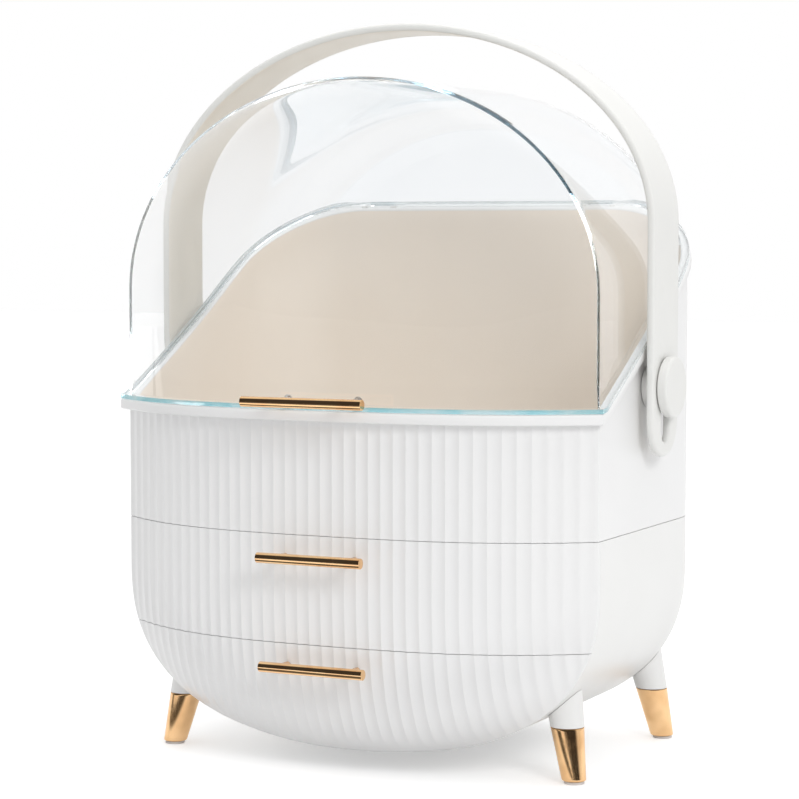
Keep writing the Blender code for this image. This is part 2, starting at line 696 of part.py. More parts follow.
def build_legs():
    for row, sign_y, y in (("front", -1, LEG_FRONT_Y), ("rear", 1, LEG_REAR_Y)):
        for side, sign_x in SIDES:
            tag = f"{row}_{side}"
            x = sign_x * LEG_HALF_SPACING_X
            leg = (sign_x, sign_y, x, y)
            leg_piece(f"foot_pad_{tag}", leg, 0, PAD_THICKNESS, PAD_RADIUS, PAD_RADIUS, RUBBER)
            foot_radii = (FOOT_BOTTOM_RADIUS, FOOT_TOP_RADIUS)
            foot = leg_piece(f"leg_foot_{tag}", leg, PAD_THICKNESS + GAP, FOOT_TOP, *foot_radii, GOLD)
            socket_radii = (FOOT_TOP_RADIUS, SOCKET_TOP_RADIUS)
            socket = leg_piece(f"leg_socket_{tag}", leg, FOOT_TOP + GAP, SOCKET_TOP, *socket_radii, WHITE)
            cut(socket, barrel(f"socket_seat_{tag}", -GAP))
            middle = (x, y, FOOT_TOP)
            cylinder(f"leg_stud_{tag}", LEG_STUD_RADIUS, middle, LEG_STUD_BITE * 2, "z", STEEL)
            lowest = FOOT_TOP - LEG_STUD_BITE - GAP
            centre = (x, y, (lowest + SOCKET_TOP) / 2)
            bore = cylinder(f"leg_bore_{tag}", LEG_STUD_RADIUS + GAP, centre, SOCKET_TOP - lowest, "z")
            cut(foot, bore)
            cut(socket, bore)


def shade():
    """Round faces smooth, true edges sharp."""
    for obj in PARTS.objects:
        obj.data.shade_smooth()
        obj.data.set_sharp_from_angle(angle=math.radians(35))


def main():
    build_housing()
    build_shelf()
    build_compartment()
    build_lid()
    build_hinge_pins()
    build_drawer("upper_drawer", LOWER_SEAM, UPPER_SEAM)
    build_drawer("lower_drawer", None, LOWER_SEAM)
    lid = bpy.data.objects["lid"]
    build_pull("lid", LID_PULL_HEIGHT, LID_PULL_LENGTH, LID_PULL_STANDOFF, LID_WALL, (lid,))
    build_handle()
    build_pivots()
    build_legs()
    shade()


main()
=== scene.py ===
"""Looks of an egg-shaped makeup organizer: fluted drawers and compartment, clear lid, carry handle.

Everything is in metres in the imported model's own frame, +Z up, with the front towards -Y.
"""

import logging
import math
from collections.abc import Callable, Sequence
from dataclasses import dataclass, field
from enum import Enum

import bmesh
import bpy
from mathutils import Matrix, Vector


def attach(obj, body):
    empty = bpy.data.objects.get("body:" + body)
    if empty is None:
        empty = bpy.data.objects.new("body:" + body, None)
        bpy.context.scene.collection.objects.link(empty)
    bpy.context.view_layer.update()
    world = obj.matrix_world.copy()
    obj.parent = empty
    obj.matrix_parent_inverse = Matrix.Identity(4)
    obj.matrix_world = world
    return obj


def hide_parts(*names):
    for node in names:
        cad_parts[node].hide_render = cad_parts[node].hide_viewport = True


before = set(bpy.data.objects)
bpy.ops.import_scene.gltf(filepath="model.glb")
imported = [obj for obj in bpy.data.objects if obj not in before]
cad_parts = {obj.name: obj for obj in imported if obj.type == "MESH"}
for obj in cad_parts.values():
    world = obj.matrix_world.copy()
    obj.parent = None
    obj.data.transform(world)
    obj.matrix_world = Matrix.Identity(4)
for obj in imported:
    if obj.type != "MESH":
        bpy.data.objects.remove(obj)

MM = 0.001
MERGE = 0.002 * MM
TINY = 0.001 * MM
RIM_ANGLE = math.radians(60)
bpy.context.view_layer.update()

log = logging.getLogger("organizer")

Colour = tuple[float, float, float]
Point = tuple[float, float, float]
Span = tuple[float, float]
Outline = list[Span]
Mesh = bmesh.types.BMesh
Socket = bpy.types.NodeSocket
Fed = Socket | float | tuple

ORIGIN = (0.0, 0.0, 0.0)
GREY = (0.8, 0.8, 0.8, 1.0)
SKIN = ("Color", "Roughness", "Height")


class Body(Enum):
    """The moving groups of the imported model."""

    CASE = "case"
    LID = "lid"
    UPPER = "upper_drawer"
    LOWER = "lower_drawer"
    BLOCKS = "pivot_blocks"
    HANDLE = "handle"


class Slot(Enum):
    """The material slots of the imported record."""

    WHITE = "white_plastic"
    CREAM = "drawer_plastic"
    CLEAR = "clear_acrylic"
    GOLD = "rose_gold"
    STEEL = "steel"
    RUBBER = "grey_rubber"


class Flank(Enum):
    """The stretches that make up the plan outline of the body, front first."""

    FRONT = "front"
    RIGHT = "right"
    RIGHT_CORNER = "right corner"
    REAR = "rear"
    LEFT_CORNER = "left corner"
    LEFT = "left"


class Side(Enum):
    """Left and right as signs of X."""

    LEFT = -1
    RIGHT = 1

    @property
    def tag(self) -> str:
        """The side's name in lower case."""
        return self.name.lower()


# Node trees and the skins that several finishes share


def rgba(tint: Colour, share: float = 1.0) -> tuple[float, float, float, float]:
    """A colour with full alpha, each part times a share."""
    return (*(share * part for part in tint), 1.0)


@dataclass
class NodeSheet:
    """A node tree and short ways to fill it."""

    tree: bpy.types.NodeTree

    def feed(self, node: bpy.types.Node, inputs: dict) -> None:
        """Fill a node's inputs.

        Args:
            node: The node.
            inputs: For each input, by name or index, the socket to link or the constant to set.
        """
        for name, value in inputs.items():
            if isinstance(value, bpy.types.NodeSocket):
                self.tree.links.new(value, node.inputs[name])
            else:
                node.inputs[name].default_value = value

    def add(self, kind: str, inputs: dict, **settings: object) -> bpy.types.NodeOutputs:
        """Add a node.

        Args:
            kind: The node's type name, without Shader and Node.
            inputs: What its inputs are fed.
            settings: Properties set on the node.

        Returns:
            The node's outputs.
        """
        node = self.tree.nodes.new(f"ShaderNode{kind}")
        for name, value in settings.items():
            setattr(node, name, value)
        self.feed(node, inputs)
        return node.outputs

    def compute(self, operation: str, first: Fed, second: Fed, **settings: object) -> Socket:
        """The value of a math node."""
        return self.add("Math", {0: first, 1: second}, operation=operation, **settings)["Value"]

    def noise(self, vector: Socket, scale: Fed, detail: float, rough: float = 0.5, warp: float = 0.0) -> Socket:
        """The value of a noise texture: its cells per metre, octaves, their roughness and the warp."""
        inputs = {"Vector": vector, "Scale": scale, "Detail": detail, "Roughness": rough, "Distortion": warp}
        return self.add("TexNoise", inputs)["Fac"]

    def spread(self, value: Socket, low: float, high: float, start: Fed = 0.0, end: Fed = 1.0) -> Socket:
        """Map low..high of a value to start..end, smooth and clamped."""
        inputs = {"Value": value, "From Min": low, "From Max": high, "To Min": start, "To Max": end}
        return self.add("MapRange", inputs, interpolation_type="SMOOTHSTEP")["Result"]

    def remap(self, value: Socket, start: float, end: float) -> Socket:
        """Map 0..1 to start..end in a straight line."""
        return self.add("MapRange", {"Value": value, "To Min": start, "To Max": end})["Result"]

    def blend(self, share: Socket, first: Fed, second: Fed) -> Socket:
        """Mix two colours."""
        return self.add("Mix", {"Factor": share, "A": first, "B": second}, data_type="RGBA")["Result"]

    def layer(self, share: Socket, under: Socket, over: Socket) -> Socket:
        """Mix two shaders."""
        return self.add("MixShader", {"Fac": share, 1: under, 2: over})["Shader"]

    def open_way(self, tint: Colour) -> Socket:
        """A shader that lets light straight through, tinted."""
        return self.add("BsdfTransparent", {"Color": rgba(tint)})["BSDF"]

    def relief(self, height: Socket, depth: float) -> Socket:
        """The normal of a bump of a depth."""
        return self.add("Bump", {"Distance": depth, "Height": height})["Normal"]

    def part(self, vector: Socket, axis: str) -> Socket:
        """One part of a vector."""
        return self.add("SeparateXYZ", {"Vector": vector})[axis]


def begin_material(name: str) -> tuple[bpy.types.Material, NodeSheet, bpy.types.Node, Socket]:
    """Begin a material.

    Args:
        name: The material's name.

    Returns:
        The material, its node sheet, its shader and the position to paint by.
    """
    material = bpy.data.materials.new(name)
    material.use_nodes = True
    sheet = NodeSheet(material.node_tree)
    return material, sheet, sheet.tree.nodes["Principled BSDF"], sheet.add("TexCoord", {})["Object"]


def open_group(
    name: str, inputs: dict, outputs: Sequence[str]
) -> tuple[NodeSheet, bpy.types.NodeOutputs, bpy.types.Node]:
    """Begin a node group.

    Args:
        name: The group's name.
        inputs: The default of each input: four parts make a colour and three a vector.
        outputs: The outputs' names.

    Returns:
        The sheet, what it is given and the node that takes what it makes.
    """
    group = bpy.data.node_groups.new(name, "ShaderNodeTree")
    for label, value in inputs.items():
        kind = {3: "Vector", 4: "Color"}[len(value)] if isinstance(value, tuple) else "Float"
        socket = group.interface.new_socket(label, in_out="INPUT", socket_type=f"NodeSocket{kind}")
        socket.default_value = value
    for label in outputs:
        kind = "Color" if label == "Color" else "Float"
        group.interface.new_socket(label, in_out="OUTPUT", socket_type=f"NodeSocket{kind}")
    return NodeSheet(group), group.nodes.new("NodeGroupInput").outputs, group.nodes.new("NodeGroupOutput")


def moulded_group() -> bpy.types.NodeTree:
    """The cast skin of moulded plastic and rubber: faint mottling, gloss changes and a fine grain.

    Returns:
        A group with outputs Color, Roughness and Height.
    """
    inputs = {"Position": ORIGIN, "Base": GREY, "Mottle": GREY, "Mottle Scale": 9.0}
    inputs |= {"Smooth": 0.3, "Dull": 0.4, "Grain Scale": 1500.0}
    sheet, given, made = open_group("moulded_skin", inputs, SKIN)
    where = given["Position"]
    broad = sheet.spread(sheet.noise(where, given["Mottle Scale"], 3.0), 0.35, 0.7)
    haze = sheet.spread(sheet.noise(where, 38.0, 4.0), 0.3, 0.72, given["Smooth"], given["Dull"])
    grain = sheet.noise(where, given["Grain Scale"], 2.0)
    sheet.feed(made, {"Color": sheet.blend(broad, given["Base"], given["Mottle"]), "Roughness": haze, "Height": grain})
    return sheet.tree


def polished_group() -> bpy.types.NodeTree:
    """Polished, plated metal: hairline drawing marks and a slight change of tone.

    Returns:
        A group with outputs Color, Roughness and Height.
    """
    inputs = {"Position": ORIGIN, "Bright": GREY, "Deep": GREY, "Smooth": 0.08, "Dull": 0.2}
    inputs["Stretch"] = (1.0, 30.0, 30.0)
    sheet, given, made = open_group("polished_plate", inputs, SKIN)
    where = given["Position"]
    drawn = sheet.add("VectorMath", {0: where, 1: given["Stretch"]}, operation="MULTIPLY")["Vector"]
    lines = sheet.noise(drawn, 120.0, 4.0, 0.6)
    tone = sheet.spread(sheet.noise(where, 60.0, 2.0), 0.3, 0.7)
    gloss = sheet.spread(lines, 0.3, 0.7, given["Smooth"], given["Dull"])
    sheet.feed(made, {"Color": sheet.blend(tone, given["Bright"], given["Deep"]), "Roughness": gloss, "Height": lines})
    return sheet.tree


def handling_group() -> bpy.types.NodeTree:
    """Soft smudges that handling leaves on gloss: a mask from 0 where clean to 1.

    Returns:
        A group with the output Mask.
    """
    sheet, given, made = open_group("handling_smudge", {"Position": ORIGIN, "Scale": 25.0}, ("Mask",))
    cloud = sheet.noise(given["Position"], given["Scale"], 5.0, warp=0.6)
    sheet.feed(made, {"Mask": sheet.spread(cloud, 0.52, 0.75)})
    return sheet.tree


@dataclass
class Workshop:
    """Holds the shared node groups, each built once."""

    moulded: bpy.types.NodeTree = field(default_factory=moulded_group)
    polished: bpy.types.NodeTree = field(default_factory=polished_group)
    handling: bpy.types.NodeTree = field(default_factory=handling_group)

    def smudge(self, sheet: NodeSheet, position: Socket, scale: float) -> Socket:
        """The mask of the smudges that handling leaves."""
        return sheet.add("Group", {"Position": position, "Scale": scale}, node_tree=self.handling)["Mask"]


@dataclass(frozen=True)
class MouldedPlastic:
    """A moulded plastic or rubber finish."""

    name: str
    base: Colour
    mottle: Colour
    smooth: float
    dull: float
    grain_depth: float = 0.003 * MM
    mottle_scale: float = 9.0
    grain_scale: float = 500.0
    specular: float = 0.5

    def make(self, shop: Workshop) -> bpy.types.Material:
        """Build the material.

        Args:
            shop: The shared node groups.

        Returns:
            The material.
        """
        material, sheet, shader, position = begin_material(self.name)
        inputs = {"Position": position, "Base": rgba(self.base), "Mottle": rgba(self.mottle), "Smooth": self.smooth}
        inputs |= {"Mottle Scale": self.mottle_scale, "Dull": self.dull, "Grain Scale": self.grain_scale}
        skin = sheet.add("Group", inputs, node_tree=shop.moulded)
        inputs = {"Base Color": skin["Color"], "Roughness": skin["Roughness"], "Specular IOR Level": self.specular}
        sheet.feed(shader, inputs | {"Normal": sheet.relief(skin["Height"], self.grain_depth)})
        return material


@dataclass(frozen=True)
class PolishedMetal:
    """A plated and polished metal finish."""

    name: str
    bright: Colour
    deep: Colour
    smooth: float
    dull: float
    stretch: Point
    line_depth: float = 0.0006 * MM
    smudge_scale: float = 70.0
    smudge_dull: float = 0.08

    def make(self, shop: Workshop) -> bpy.types.Material:
        """Build the material.

        Args:
            shop: The shared node groups.

        Returns:
            The material.
        """
        material, sheet, shader, position = begin_material(self.name)
        inputs = {"Position": position, "Bright": rgba(self.bright), "Deep": rgba(self.deep), "Smooth": self.smooth}
        plate = sheet.add("Group", inputs | {"Dull": self.dull, "Stretch": self.stretch}, node_tree=shop.polished)
        smudge = sheet.remap(shop.smudge(sheet, position, self.smudge_scale), 0.0, self.smudge_dull)
        inputs = {"Base Color": plate["Color"], "Roughness": sheet.compute("ADD", plate["Roughness"], smudge)}
        sheet.feed(shader, inputs | {"Metallic": 1.0, "Normal": sheet.relief(plate["Height"], self.line_depth)})
        return material


@dataclass(frozen=True)
class ClearShell:
    """Clear moulded acrylic, which lets light through to what is under it."""

    name: str
    tint: Colour
    smudge_tint: float = 0.985
    smudge_scale: float = 14.0
    smudge_dull: float = 0.03
    index: float = 1.12
    gloss_index: float = 1.49
    passing_tint: Colour = (0.96, 0.965, 0.965)
    guided_depth: float = 4.5
    guided_tint: Colour = (0.50, 0.58, 0.62)

    def make(self, shop: Workshop) -> bpy.types.Material:
        """Build the material.

        Shadow and diffuse rays pass straight through, and rays that the wall leads round for long are let out.

        Args:
            shop: The shared node groups.

        Returns:
            The material.
        """
        material, sheet, shader, position = begin_material(self.name)
        smudge = shop.smudge(sheet, position, self.smudge_scale)
        tone = sheet.blend(smudge, rgba(self.tint), rgba(self.tint, self.smudge_tint))
        inputs = {"Base Color": tone, "Roughness": sheet.remap(smudge, 0.0, self.smudge_dull), "IOR": self.index}
        inputs |= {"Transmission Weight": 1.0, "Coat Weight": 1.0, "Coat IOR": self.gloss_index, "Coat Roughness": 0.0}
        sheet.feed(shader, inputs)
        path = sheet.add("LightPath", {})
        guided = sheet.compute("GREATER_THAN", path["Ray Depth"], self.guided_depth)
        seen = sheet.layer(guided, shader.outputs["BSDF"], sheet.open_way(self.guided_tint))
        passes = sheet.compute("MAXIMUM", path["Is Shadow Ray"], path["Is Diffuse Ray"])
        final = sheet.layer(passes, seen, sheet.open_way(self.passing_tint))
        sheet.feed(sheet.tree.nodes["Material Output"], {"Surface": final})
        return material


@dataclass(frozen=True)
class ShellEdge:
    """The cut edge of the clear shell, where its depth of colour shows along the front."""

    name: str
    front: Colour
    rest: Colour
    turn_start: float = -72 * MM
    turn_end: float = -55 * MM
    streak: float = 0.45
    smudge_scale: float = 25.0
    smooth: float = 0.08
    dull: float = 0.2
    index: float = 1.49
    clear_share: float = 0.35

    def make(self, shop: Workshop) -> bpy.types.Material:
        """Build the material.

        Args:
            shop: The shared node groups.

        Returns:
            The material.
        """
        material, sheet, shader, position = begin_material(self.name)
        turn = sheet.spread(sheet.part(position, "Y"), self.turn_start, self.turn_end)
        streaks = sheet.spread(sheet.noise(position, 45.0, 3.0), 0.35, 0.7, 0.0, self.streak)
        tone = sheet.blend(sheet.compute("MAXIMUM", turn, streaks), rgba(self.front), rgba(self.rest))
        dull = sheet.remap(shop.smudge(sheet, position, self.smudge_scale), self.smooth, self.dull)
        inputs = {"Base Color": tone, "Roughness": dull, "Transmission Weight": self.clear_share, "IOR": self.index}
        sheet.feed(shader, inputs)
        return material


@dataclass
class Palette:
    """Every finish of the organizer, as materials."""

    shop: Workshop = field(default_factory=Workshop)

    def build(self) -> "Palette":
        """Make the materials.

        Returns:
            The palette itself.
        """
        finishes = {
            "white": MouldedPlastic(
                "satin_white_plastic", (0.825, 0.825, 0.815), (0.815, 0.814, 0.802), 0.32, 0.38, specular=0.45
            ),
            "fluted": MouldedPlastic("fluted_white_plastic", (0.83, 0.83, 0.83), (0.82, 0.82, 0.822), 0.28, 0.34),
            # Compartment lining: warmer and lighter than the white plastic, painted warm bounce light that also lifts
            # the shade inside the compartment
            "interior": MouldedPlastic("interior_painted_warm_bounce", (0.885, 0.815, 0.735), (0.865, 0.79, 0.705), 0.40, 0.5),
            "cream": MouldedPlastic(
                "cream_tray_plastic", (0.82, 0.805, 0.78), (0.80, 0.785, 0.755), 0.4, 0.52, 0.008 * MM
            ),
            # Pad rubber: its light grey is partly the pad's own colour and partly painted light that lifts the shade
            # under the belly
            "rubber": MouldedPlastic(
                "grey_rubber_pad", (0.74, 0.71, 0.69), (0.64, 0.61, 0.60), 0.7, 0.85, 0.03 * MM, 120.0, 2600.0
            ),
            "gold": PolishedMetal(
                "rose_gold_bars", (0.93, 0.62, 0.33), (0.85, 0.50, 0.25), 0.06, 0.12, (0.5, 14.0, 14.0)
            ),
            # Feet gold: a darker copy of the bar gold, painted shade standing in for the shadowed floor the feet
            # reflect
            "foot_gold": PolishedMetal(
                "rose_gold_feet_painted_shade", (0.82, 0.54, 0.29), (0.68, 0.41, 0.20), 0.07, 0.13, (14.0, 14.0, 0.6)
            ),
            "steel": PolishedMetal(
                "zinc_plated_steel", (0.66, 0.66, 0.67), (0.55, 0.55, 0.56), 0.22, 0.36, (9.0, 9.0, 9.0)
            ),
            # Handle inner face: a warmer, lighter copy of the white plastic, painted bounce light
            "inner": MouldedPlastic("handle_inside_painted_bounce", (0.86, 0.825, 0.76), (0.84, 0.80, 0.73), 0.34, 0.42),
            # Handle band and caps: the white plastic painted a shade darker, to tone down their lit outer faces
            "band": MouldedPlastic(
                "handle_white_painted_shade", (0.775, 0.775, 0.755), (0.765, 0.764, 0.742), 0.30, 0.36, specular=0.45
            ),
            "clear": ClearShell("clear_acrylic_shell", (0.985, 0.993, 1.0)),
            "edge": ShellEdge("clear_acrylic_edge", (0.27, 0.60, 0.68), (0.80, 0.85, 0.86)),
        }
        for tag, finish in finishes.items():
            setattr(self, tag, finish.make(self.shop))
        return self


# Mesh helpers


def mapped_grid(columns: int, rows: int, place: Callable[[int, int], Point]) -> Mesh:
    """A grid moved point by point to its place.

    Args:
        columns: Steps across.
        rows: Steps up.
        place: Gives a point's place from its column and row.

    Returns:
        The merged mesh.
    """
    bm = bmesh.new()
    bmesh.ops.create_grid(bm, x_segments=columns, y_segments=rows, size=0.5)
    for vert in bm.verts:
        column = round((vert.co.x + 0.5) * columns)
        row = round((vert.co.y + 0.5) * rows)
        vert.co = place(column, row)
    bmesh.ops.remove_doubles(bm, verts=bm.verts, dist=MERGE)
    return bm


def absorb(target: Mesh, source: Mesh) -> Mesh:
    """Add one mesh to another and free it.

    Args:
        target: The mesh that grows.
        source: The mesh that is added.

    Returns:
        The target.
    """
    carrier = bpy.data.meshes.new("carrier")
    source.to_mesh(carrier)
    source.free()
    target.from_mesh(carrier)
    bpy.data.meshes.remove(carrier)
    return target


def fillet(points: Sequence[tuple[float, ...]], steps: int = 4) -> Outline:
    """Round the corners of a profile.

    Args:
        points: (radius, height) or (radius, height, rounding) in order.
        steps: Segments in each rounding.

    Returns:
        The rounded profile.
    """
    made = []
    for index, point in enumerate(points):
        if len(point) < 3 or index in (0, len(points) - 1):
            made.append((point[0], point[1]))
            continue
        here = Vector(point[:2])
        before = Vector(points[index - 1][:2]) - here
        after = Vector(points[index + 1][:2]) - here
        reach = min(point[2], before.length * 0.49, after.length * 0.49)
        start, end = here + before.normalized() * reach, here + after.normalized() * reach
        for step in range(steps + 1):
            t = step / steps
            made.append(tuple(start * (1 - t) ** 2 + here * 2 * t * (1 - t) + end * t**2))
    return made


def turned(profile: Outline, steps: int) -> Mesh:
    """Spin a profile about Z.

    Args:
        profile: (radius, height) points in order.
        steps: Segments round.

    Returns:
        The closed mesh.
    """
    bm = bmesh.new()
    verts = [bm.verts.new((radius, 0.0, height)) for radius, height in profile]
    edges = [bm.edges.new(pair) for pair in zip(verts, verts[1:])]
    bmesh.ops.spin(
        bm, geom=verts + edges, axis=(0, 0, 1), cent=(0, 0, 0), dvec=(0, 0, 0), angle=math.tau, steps=steps,
        use_merge=True, use_duplicate=False,
    )
    bmesh.ops.remove_doubles(bm, verts=bm.verts, dist=MERGE)
    return bm


def stadium(centre: float, low: float, high: float, half: float, steps: int) -> Outline:
    """A slot outline with round ends, from its middle, lowest and highest point and half width."""
    upper = arc(centre, high - half, half, 0.0, math.pi, steps)
    return upper + arc(centre, low + half, half, math.pi, math.pi, steps)


def arc(y: float, z: float, radius: float, start: float, sweep: float, steps: int) -> Outline:
    """Points round a centre, from a start angle over a sweep."""
    turns = [start + sweep * i / steps for i in range(steps + 1)]
    return [(y + radius * math.cos(turn), z + radius * math.sin(turn)) for turn in turns]


def thicken(bm: Mesh, thickness: float) -> None:
    """Raise a copy of a flat sheet's faces, joined to them by walls.

    Args:
        bm: The sheet, which becomes the plate.
        thickness: How far the copy is raised.
    """
    made = bmesh.ops.extrude_face_region(bm, geom=list(bm.faces))
    lifted = [item for item in made["geom"] if isinstance(item, bmesh.types.BMVert)]
    bmesh.ops.translate(bm, vec=(0, 0, thickness), verts=lifted)


def cut_plate(outlines: Sequence[Outline], thickness: float, edge: float) -> Mesh:
    """A flat plate in the XY plane from Z 0 upwards, its rims rounded.

    Args:
        outlines: The outer outline and then any holes.
        thickness: The plate's thickness.
        edge: The rounding of its rims.

    Returns:
        The plate.
    """
    bm = bmesh.new()
    for outline in outlines:
        verts = [bm.verts.new((*point, 0.0)) for point in outline]
        for vert, following in zip(verts, verts[1:] + verts[:1]):
            bm.edges.new((vert, following))
    bmesh.ops.triangle_fill(bm, edges=bm.edges, use_beauty=True, use_dissolve=False)
    thicken(bm, thickness)
    bmesh.ops.recalc_face_normals(bm, faces=bm.faces)
    rims = [rim for rim in bm.edges if rim.calc_face_angle(0.0) > RIM_ANGLE]
    bmesh.ops.bevel(
        bm, geom=rims, offset=edge, offset_type="OFFSET", segments=3, profile=0.5, affect="EDGES", material=-1
    )
    return bm


X_PLACES = Matrix(((0, 0, 1, 0), (1, 0, 0, 0), (0, 1, 0, 0), (0, 0, 0, 1)))


def along_x(bm: Mesh, start: float) -> Mesh:
    """Stand a plate drawn in (y, z) upright, with its thickness along X from start."""
    bmesh.ops.transform(bm, matrix=Matrix.Translation((start, 0, 0)) @ X_PLACES, verts=bm.verts)
    return bm


@dataclass
class Maker:
    """Turns meshes into finished pieces on their bodies."""

    count: int = 0

    def piece(
        self,
        name: str,
        bm: Mesh,
        materials: Sequence[bpy.types.Material],
        body: Body,
        slot: Slot,
        nodes: Sequence[str],
        sharp: float = 38.0,
        normals: bool = True,
    ) -> bpy.types.Object:
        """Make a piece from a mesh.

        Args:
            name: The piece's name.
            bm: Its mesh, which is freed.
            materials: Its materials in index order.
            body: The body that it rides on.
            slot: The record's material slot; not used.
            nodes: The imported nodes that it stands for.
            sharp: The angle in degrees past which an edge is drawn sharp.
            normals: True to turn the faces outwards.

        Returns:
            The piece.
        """
        if normals:
            bmesh.ops.recalc_face_normals(bm, faces=bm.faces)
            if bm.calc_volume(signed=True) < 0:
                bmesh.ops.reverse_faces(bm, faces=bm.faces)
        mesh = bpy.data.meshes.new(name)
        bm.to_mesh(mesh)
        bm.free()
        for material in materials:
            mesh.materials.append(material)
        mesh.shade_smooth()
        mesh.set_sharp_from_angle(angle=math.radians(sharp))
        obj = bpy.data.objects.new(name, mesh)
        bpy.context.scene.collection.objects.link(obj)
        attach(obj, body.value)
        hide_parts(*nodes)
        self.count += 1
        log.info("%s: %d faces on %s", name, len(mesh.polygons), body.value)
        return obj

    def wall(self, obj: bpy.types.Object, thickness: float) -> bpy.types.Modifier:
        """Give an outward-facing sheet its wall, on the inner side.

        Args:
            obj: The sheet.
            thickness: The wall's thickness.

        Returns:
            The modifier.
        """
        solid = obj.modifiers.new("wall", "SOLIDIFY")
        solid.thickness = thickness
        solid.offset = -1.0
        solid.use_even_offset = True
        return solid

    def soften(self, obj: bpy.types.Object, width: float, segments: int = 2, angle: float = 55.0) -> None:
        """Round a piece's true edges.

        Args:
            obj: The piece.
            width: How far the rounding reaches from the edge.
            segments: Segments in the rounding.
            angle: The angle in degrees past which an edge is rounded.
        """
        bevel = obj.modifiers.new("soften", "BEVEL")
        bevel.width = width
        bevel.segments = segments
        bevel.limit_method = "ANGLE"
        bevel.angle_limit = math.radians(angle)
        bevel.harden_normals = True


@dataclass
class Part:
    """What every part of the organizer is built with."""

    palette: Palette
    maker: Maker


def face_outwards(bm: Mesh, inside: Vector) -> None:
    """Turn an open sheet so that its faces look away from a point inside it.

    Args:
        bm: The sheet.
        inside: The point.
    """
    bmesh.ops.recalc_face_normals(bm, faces=bm.faces)
    total = sum(face.calc_area() * face.normal.dot(face.calc_center_median() - inside) for face in bm.faces)
    if total < 0:
        bmesh.ops.reverse_faces(bm, faces=bm.faces)


